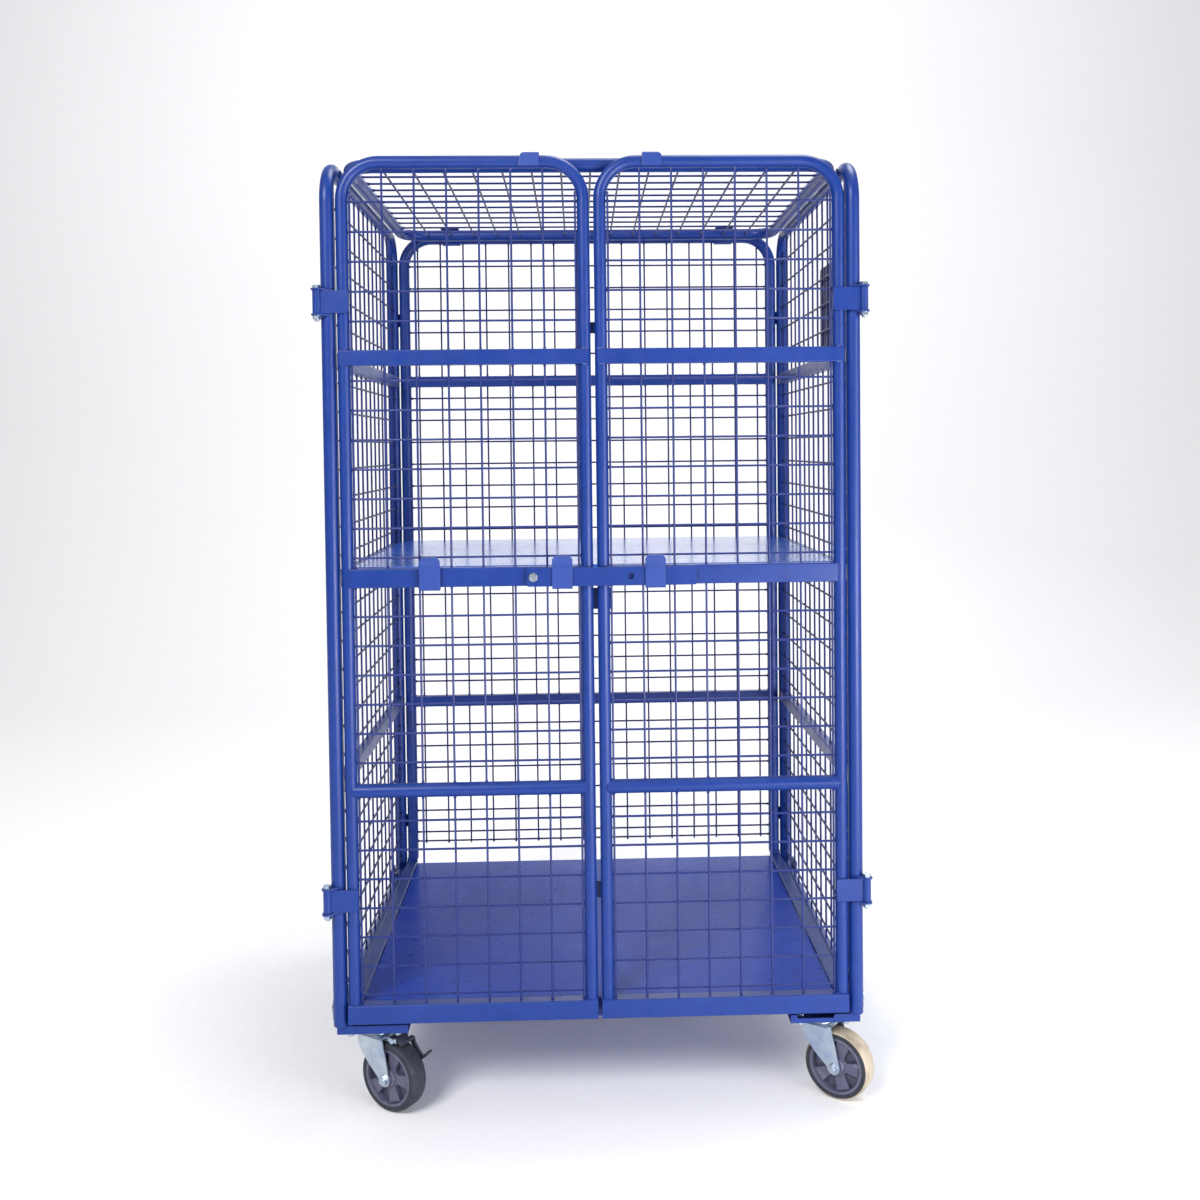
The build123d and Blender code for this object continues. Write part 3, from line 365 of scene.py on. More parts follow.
# ---------------------------------------------------------------- mesh building
class Build:
    """Gathers shapes given in layout millimetres and makes one object of them."""

    def __init__(self):
        self.bm = bmesh.new()

    def join(self, shape):
        mesh = bpy.data.meshes.new("tmp")
        shape.to_mesh(mesh)
        shape.free()
        self.bm.from_mesh(mesh)
        bpy.data.meshes.remove(mesh)

    def loft(self, rings, closed=False):
        """Skin over rings of points; an open one is capped at both ends."""
        faces = self.bm.faces
        verts = [[self.bm.verts.new(point) for point in ring] for ring in rings]
        count = len(verts[0])
        for i in range(len(verts) if closed else len(verts) - 1):
            near, far = verts[i], verts[(i + 1) % len(verts)]
            for j in range(count):
                k = (j + 1) % count
                faces.new((near[j], near[k], far[k], far[j]))
        if not closed:
            faces.new(verts[0][::-1])
            faces.new(verts[-1])

    def tube(self, points, bend, radius, normal, closed=False):
        """Round tube through points in one plane, its square corners bent to a radius."""
        normal = Vector(normal)
        corners = [Vector(point) for point in points]
        count = len(corners)
        steps = 12
        path = []
        for i, corner in enumerate(corners):
            if not closed and i in (0, count - 1):
                run = corners[1] - corners[0] if i == 0 else corners[-1] - corners[-2]
                path.append((corner, run.normalized()))
                continue
            back = (corners[i - 1] - corner).normalized()
            ahead = (corners[(i + 1) % count] - corner).normalized()
            centre = corner + (back + ahead) * bend
            for k in range(steps + 1):
                cos, sin = math.cos(math.pi / 2 * k / steps), math.sin(math.pi / 2 * k / steps)
                point = centre - ahead * bend * cos - back * bend * sin
                path.append((point, (ahead * sin - back * cos).normalized()))
        self.loft([circle(p, radius, normal, t.cross(normal), 36) for p, t in path], closed)

    def rod(self, radius, start, end, segments=24, chamfer=0.0):
        start, end = Vector(start), Vector(end)
        along = (end - start).normalized()
        x, y = axes_across(along)
        stations = [(start, radius), (end, radius)]
        if chamfer:
            stations = [(start, radius - chamfer), (start + along * chamfer, radius),
                        (end - along * chamfer, radius), (end, radius - chamfer)]
        self.loft([circle(centre, size, x, y, segments) for centre, size in stations])

    def lathe(self, profile, origin, axis, segments=48, closed=True):
        """Turns (along, radius) points about an axis; a closed profile gives a ring."""
        origin, axis = Vector(origin), Vector(axis)
        x, y = axes_across(axis)
        faces = self.bm.faces
        verts = []
        for j in range(segments):
            turn = 2 * math.pi * j / segments
            out = x * math.cos(turn) + y * math.sin(turn)
            verts.append([self.bm.verts.new(origin + axis * s + out * r) for s, r in profile])
        count = len(profile)
        for j in range(segments):
            near, far = verts[j], verts[(j + 1) % segments]
            for i in range(count if closed else count - 1):
                k = (i + 1) % count
                faces.new((near[i], near[k], far[k], far[i]))
        if not closed:
            faces.new([line[0] for line in verts])
            faces.new([line[-1] for line in verts][::-1])

    def rbox(self, x0, x1, y0, y1, z0, z1, radius):
        """Box with rounded edges."""
        shape = bmesh.new()
        bmesh.ops.create_cube(shape, size=1.0)
        low = Vector((min(x0, x1), min(y0, y1), min(z0, z1)))
        high = Vector((max(x0, x1), max(y0, y1), max(z0, z1)))
        size = high - low
        for v in shape.verts:
            v.co = Vector([low[i] + (v.co[i] + 0.5) * size[i] for i in range(3)])
        bmesh.ops.bevel(shape, geom=shape.edges[:], offset=min(radius, min(size) * 0.45),
                        segments=3, profile=0.5, affect="EDGES")
        self.join(shape)

    def rtube(self, axis, start, end, u0, u1, v0, v1, radius):
        """Rectangular rail along an axis; u and v are the other two axes in order."""
        outline = rounded_rect(u0, u1, v0, v1, radius, 5)
        mid_u, mid_v = (u0 + u1) / 2, (v0 + v1) / 2
        half_u, half_v = abs(u1 - u0) / 2, abs(v1 - v0) / 2
        chamfer = 0.6
        low, high = min(start, end), max(start, end)
        rings = []
        for along, inset in ((low, chamfer), (low + chamfer, 0),
                             (high - chamfer, 0), (high, chamfer)):
            rings.append([on_axis(axis, along,
                                  mid_u + (u - mid_u) * (1 - inset / half_u),
                                  mid_v + (v - mid_v) * (1 - inset / half_v))
                          for u, v in outline])
        self.loft(rings)

    def prism(self, outline, axis, start, end, bevel=0.6, segments=2):
        """Plate with a (u, v) outline, its thickness from start to end along an axis."""
        shape = bmesh.new()
        low = [shape.verts.new(on_axis(axis, start, u, v)) for u, v in outline]
        high = [shape.verts.new(on_axis(axis, end, u, v)) for u, v in outline]
        count = len(outline)
        shape.faces.new(low[::-1])
        shape.faces.new(high)
        for i in range(count):
            k = (i + 1) % count
            shape.faces.new((low[i], low[k], high[k], high[i]))
        bmesh.ops.recalc_face_normals(shape, faces=shape.faces[:])
        rim = [e for e in shape.edges if len(e.link_faces) == 2 and e.calc_face_angle(0) > 1.0]
        bmesh.ops.bevel(shape, geom=rim, offset=bevel, segments=segments, profile=0.5,
                        affect="EDGES")
        self.join(shape)

    def hexagon(self, flats, seat, top):
        """Bolt head or nut from seat to top, with a chamfered crown."""
        seat, top = Vector(seat), Vector(top)
        along = (top - seat).normalized()
        height = (top - seat).length
        x, y = axes_across(along)
        segments = 36
        rings = []
        # height above the seat, share of the corner radius that is left
        for level, share in ((0, 0.955), (0.5, 1.0), (height - 0.8, 1.0),
                             (height - 0.25, 0.94), (height, 0.86)):
            ring = []
            for j in range(segments):
                turn = 2 * math.pi * j / segments
                off_flat = ((turn + math.pi / 6) % (math.pi / 3)) - math.pi / 6
                radius = min((flats / 2) / math.cos(off_flat), flats / math.sqrt(3) * share)
                out = x * math.cos(turn) + y * math.sin(turn)
                ring.append(seat + along * level + out * radius)
            rings.append(ring)
        self.loft(rings)

    def blob(self, centre, radius, squash=(1, 1, 1)):
        shape = bmesh.new()
        bmesh.ops.create_icosphere(shape, subdivisions=1, radius=1.0)
        jitter = [rnd.uniform(0.85, 1.15) for _ in range(3)]
        for v in shape.verts:
            offset = [v.co[i] * radius * squash[i] * jitter[i] for i in range(3)]
            v.co = Vector(centre) + Vector(offset)
        self.join(shape)

    def bead(self, point, low, high):
        """One weld bead, its radius drawn between low and high."""
        self.blob(point, rnd.uniform(low, high))

    def bead_line(self, start, end, count, low, high):
        start, end = Vector(start), Vector(end)
        for k in range(count):
            self.bead(start + (end - start) * (k / (count - 1)), low, high)

    def bead_box(self, x, y, z, half_y, half_z, radius, inward):
        """Beads round the end of a rectangular rail that meets an upright tube at (x, y)."""
        bead_pitch = 2.4
        count_z = int(half_z * 2 / bead_pitch)
        count_y = int(half_y * 2 / bead_pitch)
        rise = [-half_z + 2 * half_z * i / count_z for i in range(count_z)]
        run = [-half_y + 2 * half_y * i / count_y for i in range(count_y)]
        loop = [(-half_y, dz) for dz in rise] + [(dy, half_z) for dy in run]
        loop += [(half_y, -dz) for dz in rise] + [(-dy, -half_z) for dy in run]
        for dy, dz in loop:
            self.bead((x + inward * (saddle(radius, dy) + 0.4), y + dy, z + dz), 1.5, 2.1)

    def wire(self, start, end):
        """Mesh wire with its weld swellings at both ends."""
        start, end = Vector(start), Vector(end)
        self.rod(WIRE_R, start, end, 10)
        along = (end - start).normalized()
        squash = [1.0 + 0.7 * abs(along[i]) for i in range(3)]
        for point, sign in ((start, 1), (end, -1)):
            self.blob(point + along * sign * 1.4, WIRE_R * 1.42, squash)

    def make(self, name, material, body, cad=(), slot=None, smooth=0.6, local=None):
        """Turns the gathered shapes into an object that rides on a body."""
        bmesh.ops.recalc_face_normals(self.bm, faces=self.bm.faces[:])
        mesh = bpy.data.meshes.new(name)
        for v in self.bm.verts:
            v.co = place(*(local @ v.co if local is not None else v.co))
        self.bm.to_mesh(mesh)
        self.bm.free()
        mesh.shade_smooth()
        mesh.set_sharp_from_angle(angle=smooth)
        mesh.materials.append(material)
        ob = bpy.data.objects.new(name, mesh)
        bpy.context.scene.collection.objects.link(ob)
        normals = ob.modifiers.new("flat", "WEIGHTED_NORMAL")
        normals.keep_sharp = True
        normals.weight = 60
        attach(ob, body)
        if cad:
            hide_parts(*cad)
        return ob


# ---------------------------------------------------------------- mesh wire layout
def rows(skip):
    """Heights of the horizontal wires, without the skipped numbers."""
    return [ROW_FOOT + ROW_PITCH * k for k in range(28) if k not in skip]


ROWS = rows((7, 14, 22))


def spans(bottom, gaps, top):
    """Stretches of an upright wire from bottom to top, broken by the gaps at the rails."""
    ends = [bottom, *(z for gap in gaps for z in gap), top]
    return list(zip(ends[::2], ends[1::2]))


def rail_gaps(levels):
    return [(z - RAIL_HALF + BITE, z + RAIL_HALF - BITE) for z in levels]


def wire_top(top, radius, offset, half):
    """Upper end of a wire at an offset from the middle of a frame of that half width."""
    reach = abs(offset) - (half - BEND)
    if reach <= 0:
        return top - radius + BITE
    return top - BEND + math.sqrt(max((BEND - radius) ** 2 - (reach + 2) ** 2, 0)) + 0.2


def bend_inset(reach, inner_radius):
    """How much a wire shortens at a reach into the frame's bent corner."""
    if reach <= 0:
        return 0.0
    return inner_radius - math.sqrt(inner_radius ** 2 - reach ** 2)


# ---------------------------------------------------------------- doors
def door_frame(side, hand):
    part = Build()
    foot = DOOR_SILL[1] - 1
    part.tube([(side * STILE_IN, DOOR_Y, foot), (side * STILE_IN, DOOR_Y, DOOR_TOP),
               (side * STILE_OUT, DOOR_Y, DOOR_TOP), (side * STILE_OUT, DOOR_Y, foot)],
              BEND, DOOR_R, (0, 1, 0))
    part.rtube("x", side * 3.5, side * 447, DOOR_Y - 12.5, DOOR_Y + 12.5, *DOOR_SILL, 2.6)
    part.rtube("x", side * (STILE_IN + 4), side * (STILE_OUT - 4),
               DOOR_Y - 10.9, DOOR_Y + 10.9, *DOOR_MID, 2.4)
    part.rtube("x", side * 7, side * 443.5, DOOR_Y - 12.5, DOOR_Y + 9, *DOOR_HIGH, 2.4)
    part.rod(DOOR_BAR_R, (side * (STILE_IN + 3), DOOR_Y, DOOR_BAR_Z),
             (side * (STILE_OUT - 3), DOOR_Y, DOOR_BAR_Z), 32)
    part.make(f"door_{hand}_frame_skin", POWDER, "door_" + hand, [f"door_{hand}_frame"],
              "powder_blue")


def door_welds(side, hand):
    part = Build()
    foot_ring, bar_ring = 11.4, 12.3      # radii of the two round welds
    for x, inward in ((side * STILE_IN, side), (side * STILE_OUT, -side)):
        for j in range(30):
            turn = 2 * math.pi * j / 30
            part.bead((x - foot_ring * math.sin(turn), DOOR_Y + foot_ring * math.cos(turn),
                       DOOR_SILL[1] + 0.2), 1.445, 2.04)
        part.bead_box(x, DOOR_Y, sum(DOOR_MID) / 2, 10.6, 16.6, DOOR_R, inward)
        for z in (DOOR_HIGH[0] - 0.4, DOOR_HIGH[1] + 0.4):
            for _ in range(8):
                part.bead((x + inward * rnd.uniform(-5.5, 5.5), DOOR_Y - 11.3, z), 1.3, 1.9)
        for j in range(26):
            turn = 2 * math.pi * j / 26
            dy = bar_ring * math.cos(turn)
            part.bead((x + inward * (saddle(DOOR_R, dy) + 0.5), DOOR_Y + dy * 0.98,
                       DOOR_BAR_Z + bar_ring * math.sin(turn)), 1.4, 2.0)
    part.make(f"door_{hand}_welds", WELD, "door_" + hand)


def door_mesh(side, hand):
    part = Build()
    pitch = 56.2
    middle, half = (STILE_IN + STILE_OUT) / 2, (STILE_OUT - STILE_IN) / 2
    gaps = [(DOOR_BAR_Z - 11.8, DOOR_BAR_Z + 11.8)]
    gaps += [(low + BITE, high - BITE) for low, high in (DOOR_MID, DOOR_HIGH)]
    for k in range(8):
        offset = pitch * (k - 3.5)
        x = side * (middle + offset)
        top = wire_top(DOOR_TOP, DOOR_R, offset, half)
        for z0, z1 in spans(DOOR_SILL[1] - BITE, gaps, top):
            part.wire((x, DOOR_Y - LAYER, z0), (x, DOOR_Y - LAYER, z1))
        for z in ROWS:
            if z < top - 4:
                part.blob((x, DOOR_Y, z), 1.9, (1.15, 1.2, 1.15))
    for z in ROWS:
        inset = bend_inset(z - (DOOR_TOP - BEND), BEND - DOOR_R)
        part.wire((side * (STILE_IN + DOOR_R - 0.5 + inset), DOOR_Y + LAYER, z),
                  (side * (STILE_OUT - DOOR_R + 0.5 - inset), DOOR_Y + LAYER, z))
    part.make(f"door_{hand}_mesh_wires", MESH, "door_" + hand, [f"door_{hand}_mesh"],
              "mesh_blue")


def door_hinge_leaves(side, hand):
    """Hinge knuckles and the plates that reach them from the door."""
    part = Build()
    edge = HINGE_X - 5.2
    # x, height from the hinge's middle
    leaf = [(425, -18), (427, -20), (edge, -20), (edge, 20), (427, 20), (425, 18)]
    for z in HINGE_Z:
        part.lathe(mirrored([(20, 4.05), (20, 6.9), (19.4, 7.5)]),
                   (side * HINGE_X, HINGE_Y, z), (0, 0, 1), 36)
        part.prism([(side * x, z + dz) for x, dz in leaf], "y", HINGE_Y - 2, HINGE_Y + 2.3, 0.7)
        for k in range(15):
            part.bead((side * 425.2, HINGE_Y + 1.0 + rnd.uniform(-0.4, 0.8),
                       z - 17 + 34 * k / 14), 1.3, 1.9)
    part.make(f"door_{hand}_hinge_leaves", POWDER, "door_" + hand, [f"door_{hand}_hinges"],
              "powder_blue")


def door_top_tab(side, hand):
    """Bent plate over the door's upper tube, its outer end narrowing upwards."""
    part = Build()
    bend_y, bend_z = DOOR_Y - 9, 1704.5
    # section in (y, z): outer surface, then back along the inner one
    section = [(DOOR_Y - 14, 1686)] + arc(bend_y, bend_z, 5, 180, -90, 8)
    section += [(DOOR_Y + 11.4, 1709.5), (DOOR_Y + 11.4, 1706.5)]
    section += arc(bend_y, bend_z, 2, 90, 90, 6) + [(DOOR_Y - 11, 1686)]
    near_x = 90
    rings = []
    for share in (0.0, 0.03, 0.97, 1.0):
        ease = 0.4 if share in (0.0, 1.0) else 0
        ring = []
        for y, z in section:
            narrowing = 7 * max(0.0, min(1.0, (z - 1701.5) / 8.0))
            far_x = 126 - narrowing - (0.0 if y < DOOR_Y - 3 else 1.0)
            ring.append(Vector((side * (near_x + (far_x - near_x) * share),
                                y + (ease if y < DOOR_Y - 2 else 0),
                                z - (ease if z > 1705.5 else 0))))
        rings.append(ring)
    part.loft(rings)
    part.rbox(side * 91, side * 118, DOOR_Y - 3, DOOR_Y + 3, 1704.6, 1707.0, 0.6)
    part.make(f"door_{hand}_top_tab", KEEPER, "door_" + hand, [f"door_{hand}_tab"],
              "powder_blue")


def door_stops():
    """Plates behind the meeting stiles."""
    part = Build()
    # x0, x1, z0, z1
    for x0, x1, z0, z1 in ((-15, 20, 1395, 1415), (-16, 31, 905, 943), (-15, 20, 385, 415)):
        part.rbox(x0, x1, DOOR_Y + 11.2, DOOR_Y + 14.2, z0, z1, 0.8)
        for x in (STILE_IN - 7.4, STILE_IN + 7.4):
            part.bead_line((x, DOOR_Y + 10.2, z0 + 2), (x, DOOR_Y + 10.2, z1 - 2), 12, 1.2, 1.8)
    part.make("door_stop_plates", POWDER, "door_right", ["door_stops"], "powder_blue")


for side, hand in SIDES:
    door_frame(side, hand)
    door_welds(side, hand)
    door_mesh(side, hand)
    door_hinge_leaves(side, hand)
    door_top_tab(side, hand)
door_stops()


# ---------------------------------------------------------------- latch keepers and pivot
def keeper(part, x):
    """Open-topped keeper folded from strip, its front lip flared and its corners cut."""
    # section in (y from the door's plane, z): outer surface, then the inner one
    section = [(-11.0, 988), (-11.0, 950)]
    section += arc(-15.0, 949.0, 4.0, 0, -90, 6) + arc(-18.5, 949.0, 4.0, -90, -90, 6)
    section += [(-22.5, 970), (-22.5, 988), (-22.9, 992), (-24.2, 999), (-25.0, 1003.6)]
    section += [(-22.1, 1003.9), (-21.3, 999), (-20.0, 992), (-19.5, 988), (-19.5, 952)]
    section += arc(-17.6, 949.9, 1.9, 180, 90, 4) + arc(-15.0, 949.9, 1.9, 270, 90, 4)
    section += [(-13.0, 953), (-13.0, 988)]
    rings = []
    for dx in (-18, -17.6, -16.4, -15, -13, 13, 15, 16.4, 17.6, 18):
        lip_top = 1004.0 - max(0.0, abs(dx) - 13.0) * 1.35
        ease = 0.3 if abs(dx) == 18 else 0.0
        rings.append([Vector((x + dx, DOOR_Y + y + (ease if y < -20 else 0.0),
                              min(z, lip_top) if y < -19 else z)) for y, z in section])
    part.loft(rings)
    part.bead_line((x - 15, DOOR_Y - 11.4, 988.4), (x + 15, DOOR_Y - 11.4, 988.4), 9, 1.2, 1.7)


def latch_keepers(name, door, cad, places):
    part = Build()
    for x in places:
        keeper(part, x)
    part.make(name, KEEPER, door, [cad], "powder_blue")


def latch_point(dy):
    """Point on the latch's pivot axis, dy from the door's plane."""
    return (LATCH_X, DOOR_Y + dy, LATCH_Z)


def latch_bolt():
    part = Build()
    part.rod(BOLT_R, latch_point(-19), latch_point(19.8), 28, 0.5)
    part.hexagon(HEX, latch_point(-18.7), latch_point(-23.9))
    part.rod(8.2, latch_point(-18.6), latch_point(-19.4), 36, 0.2)
    part.make("latch_pivot_bolt", ZINC, "door_left", ["latch_bolt"], "zinc", smooth=0.35)


def latch_fixings():
    part = Build()
    part.lathe([(0, 4.05), (0, 8.7), (0.3, 9.0), (2.1, 9.0), (2.36, 8.7), (2.36, 4.05)],
               latch_point(-13.4), (0, 1, 0), 40)
    part.hexagon(HEX, latch_point(11.1), latch_point(17.5))
    part.make("latch_spacer_and_nut", ZINC, "door_left", ["latch_fixings"], "zinc", smooth=0.35)


latch_keepers("latch_keepers_left", "door_left", "keepers_left", (-58, -290))
latch_keepers("latch_keeper_right", "door_right", "keeper_right", (106,))
latch_bolt()
latch_fixings()


# ---------------------------------------------------------------- side panels
def side_frame(side, hand):
    part = Build()
    x = side * POST_X
    foot = 170.5
    part.tube([(x, POST_Y, foot), (x, POST_Y, SIDE_TOP), (x, BACK_Y, SIDE_TOP),
               (x, BACK_Y, foot)], BEND, POST_R, (1, 0, 0))
    # rounded plug in each post's foot: (z, radius)
    plug = [(foot + 1, 0.01), (foot + 1, 12.4)]
    plug += arc(foot, 9, 3.5, 90, 90, 6) + [(foot - 3.5, 0.01)]
    for y in (POST_Y, BACK_Y):
        part.lathe(plug, (x, y, 0), (0, 0, 1), 36, closed=False)
    part.rod(POST_R, (x, POST_Y, SIDE_FOOT), (x, BACK_Y, SIDE_FOOT), 36)
    for z in SIDE_RAILS:
        part.rtube("y", POST_Y + 4, BACK_Y - 4, side * (POST_X - 10), side * (POST_X + 10),
                   z - RAIL_HALF, z + RAIL_HALF, 2.4)
    part.make(f"side_{hand}_frame_skin", POWDER, "cage", ["side_frame_" + hand], "powder_blue")


def side_welds(side, hand):
    part = Build()
    for z in SIDE_RAILS:
        for y, inward in ((POST_Y, 1), (BACK_Y, -1)):
            for dx in (-10.2, 10.2):
                x, bead_y = side * POST_X + dx, y + inward * (saddle(POST_R, dx) + 0.3)
                part.bead_line((x, bead_y, z - 12), (x, bead_y, z + 12), 11, 1.3, 1.9)
            for dz in (-12.7, 12.7):
                for k in range(9):
                    dx = -10 + 20 * k / 8
                    part.bead((side * POST_X + dx, y + inward * (saddle(POST_R, dx) + 0.3),
                               z + dz), 1.3, 1.9)
    part.make(f"side_{hand}_welds", WELD, "cage")


PANEL_PITCH = 53.7          # upright wires of the side and back panels


def side_mesh(side, hand):
    part = Build()
    for k in range(15):
        offset = PANEL_PITCH * (k - 7)
        y = (POST_Y + BACK_Y) / 2 + offset
        top = wire_top(SIDE_TOP, POST_R, offset, (BACK_Y - POST_Y) / 2)
        x = side * (POST_X + LAYER)
        for z0, z1 in spans(SIDE_FOOT + POST_R - BITE, rail_gaps(SIDE_RAILS), top):
            part.wire((x, y, z0), (x, y, z1))
        for z in ROWS:
            if z < top - 4:
                part.blob((side * POST_X, y, z), 1.9, (1.2, 1.15, 1.15))
    x = side * (POST_X - LAYER)
    for z in ROWS:
        part.wire((x, POST_Y + POST_R - BITE, z), (x, BACK_Y - POST_R + BITE, z))
    # the darker copy of the mesh paint here is painted shade
    part.make(f"side_{hand}_mesh_wires", MESH_PAINTED_SHADE, "cage", ["side_mesh_" + hand], "mesh_blue")


for side, hand in SIDES:
    side_frame(side, hand)
    side_welds(side, hand)
    side_mesh(side, hand)


# ---------------------------------------------------------------- back panel
def back_frame():
    part = Build()
    foot = 214
    part.tube([(-BACK_X, BACK_Y, foot), (-BACK_X, BACK_Y, BACK_TOP), (BACK_X, BACK_Y, BACK_TOP),
               (BACK_X, BACK_Y, foot)], BEND, POST_R, (0, 1, 0))
    for z in BACK_RAILS:
        part.rtube("x", 4 - BACK_X, BACK_X - 4, BACK_Y - 10, BACK_Y + 10,
                   z - RAIL_HALF, z + RAIL_HALF, 2.4)
    part.make("back_frame_skin", POWDER, "cage", ["back_frame"], "powder_blue")


def back_welds():
    part = Build()
    for z in BACK_RAILS:
        for side in (-1, 1):
            part.bead_box(side * BACK_X, BACK_Y, z, 9.8, 12.4, POST_R, -side)
    part.make("back_welds", WELD, "cage")


def back_mesh():
    part = Build()
    for k in range(16):
        x = PANEL_PITCH * (k - 7.5)
        top = wire_top(BACK_TOP, POST_R, x, BACK_X)
        for z0, z1 in spans(250, rail_gaps(BACK_RAILS), top):
            part.wire((x, BACK_Y - LAYER, z0), (x, BACK_Y - LAYER, z1))
    # the lowest row sits higher than the pitch would put it
    for z in [252.0] + rows((0, 7, 22)):
        end = BACK_X - POST_R + BITE - bend_inset(z - (BACK_TOP - BEND), BEND - POST_R)
        part.wire((-end, BACK_Y + LAYER, z), (end, BACK_Y + LAYER, z))
    # the darker copy of the mesh paint here is painted shade
    part.make("back_mesh_wires", MESH_PAINTED_SHADE, "cage", ["back_mesh"], "mesh_blue")


back_frame()
back_welds()
back_mesh()


# ---------------------------------------------------------------- lid
def lid_frame():
    part = Build()
    part.tube([(-LID_X, LID_Y0, LID_Z), (LID_X, LID_Y0, LID_Z), (LID_X, LID_Y1, LID_Z),
               (-LID_X, LID_Y1, LID_Z)], LID_BEND, POST_R, (0, 0, 1), closed=True)
    part.make("lid_frame_skin", POWDER, "lid", ["roof_frame"], "powder_blue")


def lid_mesh():
    part = Build()
    for k in range(-7, 8):
        part.wire((53 * k, LID_Y0 + POST_R - BITE, LID_Z - LAYER),
                  (53 * k, LID_Y1 - POST_R + BITE, LID_Z - LAYER))
    for k in range(12):
        offset = 60 * (k - 5.5)
        y = (LID_Y0 + LID_Y1) / 2 + offset
        reach = abs(offset) - ((LID_Y1 - LID_Y0) / 2 - LID_BEND)
        end = LID_X - POST_R + BITE - bend_inset(reach, LID_BEND - POST_R)
        part.wire((-end, y, LID_Z + LAYER), (end, y, LID_Z + LAYER))
    # the darker copy of the mesh paint here is painted shade
    part.make("lid_mesh_wires", MESH_PAINTED_SHADE, "lid", ["roof_mesh"], "mesh_blue")


lid_frame()
lid_mesh()


# ---------------------------------------------------------------- sheets
# each box: x0, x1, y0, y1, z0, z1, edge radius
DECK_BOXES = (
    (-423, 423, -379, 390, 201.05, 204, 1.2),
    (-423, 423, -379, -376.6, 186, 203, 0.9),
)
SHELF_BOXES = [
    (-445, 445, -290, 364, 975, 977, 0.8),
    (-424.4, 424.4, 360, 386, 975, 977, 0.8),
    (-415, 415, -290, -288, 952, 976.2, 0.8),
    (-415, 415, -290, -276, 952, 954, 0.8),
]
# two channels under the shelf
for y in (-60, 150):
    SHELF_BOXES += [
        (-400, 400, y - 15, y + 15, 963, 965, 0.6),
        (-400, 400, y - 15, y - 13, 963, 976, 0.6),
        (-400, 400, y + 13, y + 15, 963, 976, 0.6),
    ]
# webs that carry the pivot eyes
SHELF_BOXES += [(side * 421, side * 424, 361, 370, 958, 976, 0.6) for side in (-1, 1)]


def sheet(name, material, body, boxes, cad=(), slot=None):
    part = Build()
    for box in boxes:
        part.rbox(*box)
    part.make(name, material, body, cad, slot)


def shelf_eyes():
    part = Build()
    # x, radius
    eye = [(421, 5.06), (421, 10.6), (421.4, 11), (423.6, 11), (424, 10.6), (424, 5.06)]
    for side in (-1, 1):
        part.lathe([(side * x, r) for x, r in eye], (0, 372, 966), (1, 0, 0), 36)
    part.make("shelf_pivot_eyes", POWDER, "shelf", ["shelf_sheet"], "sheet_blue")


def document_plate():
    part = Build()
    part.prism(rounded_rect(-290, -60, 1366, 1548, 8, 6), "x", 467.2, 468.7, 0.3)
    part.make("document_plate_sheet", PLATE, "cage", ["document_plate"], "powder_blue")


sheet("deck_panel", DECK, "cage", DECK_BOXES, ["deck_sheet"], "sheet_blue")
sheet("shelf_panel", SHELF, "shelf", SHELF_BOXES)
shelf_eyes()
document_plate()


# ---------------------------------------------------------------- fasteners
def fastener_set(part, name):
    part.make(name + "_set", ZINC, "cage", [name + "s"], "zinc", smooth=0.35)


def hinge_bolts():
    part = Build()
    for side, z in HINGES:
        x = side * HINGE_X
        part.rod(BOLT_R, (x, HINGE_Y, z - 34), (x, HINGE_Y, z + 24), 24, 0.6)
        part.hexagon(HEX, (x, HINGE_Y, z + 23.85), (x, HINGE_Y, z + 29.1))
    fastener_set(part, "hinge_bolt")


def hinge_nuts():
    part = Build()
    for side, z in HINGES:
        x = side * HINGE_X
        part.hexagon(HEX, (x, HINGE_Y, z - 23.85), (x, HINGE_Y, z - 30.3))
        part.rod(7.6, (x, HINGE_Y, z - 23.82), (x, HINGE_Y, z - 24.9), 32, 0.2)
    fastener_set(part, "hinge_nut")


def panel_bolts():
    part = Build()
    for side in (-1, 1):
        for y in (-345, 360):
            part.rod(BOLT_R, (side * 436, y, SIDE_FOOT), (side * 481, y, SIDE_FOOT), 20)
            part.hexagon(HEX, (side * 480.6, y, SIDE_FOOT), (side * 485.8, y, SIDE_FOOT))
    fastener_set(part, "panel_bolt")


def caster_bolts():
    part = Build()
    for x, y in CASTER_BOLTS:
        part.rod(BOLT_R, (x, y, 139.5), (x, y, 155.2), 20, 0.5)
        part.hexagon(HEX, (x, y, 155.05), (x, y, 160.3))
    fastener_set(part, "caster_bolt")


def caster_nuts():
    part = Build()
    for x, y in CASTER_BOLTS:
        part.hexagon(HEX, (x, y, 147.95), (x, y, 141.5))
        part.rod(8.0, (x, y, 147.98), (x, y, 146.8), 30, 0.2)
    fastener_set(part, "caster_nut")


def hinge_ears():
    """Pairs of ears on the posts, from the bolt's round end back to the tube."""
    part = Build()
    # x, y
    outline = arc(HINGE_X, HINGE_Y, 10, -135, 180, 15)
    outline += [(POST_X + 12.0, POST_Y + 3.4), (POST_X + 8, POST_Y - 9.4),
                (POST_X - 4.5, POST_Y - 11.6)]
    thickness = 3.5
    for side, z in HINGES:
        # underside of the ear, height of its beads above that
        for z0, bead_rise in ((z + 20.3, 3.9), (z - 23.8, -0.4)):
            part.prism([(side * x, y) for x, y in outline], "z", z0, z0 + thickness)
            for x, y in arc(POST_X, POST_Y, 12.8, -115, 110, 8):
                part.bead((side * x, y, z0 + bead_rise), 1.1, 1.6)
    part.make("hinge_ear_set", POWDER, "cage", ["hinge_ears"], "powder_blue")


hinge_bolts()
hinge_nuts()
panel_bolts()
caster_bolts()
caster_nuts()
hinge_ears()


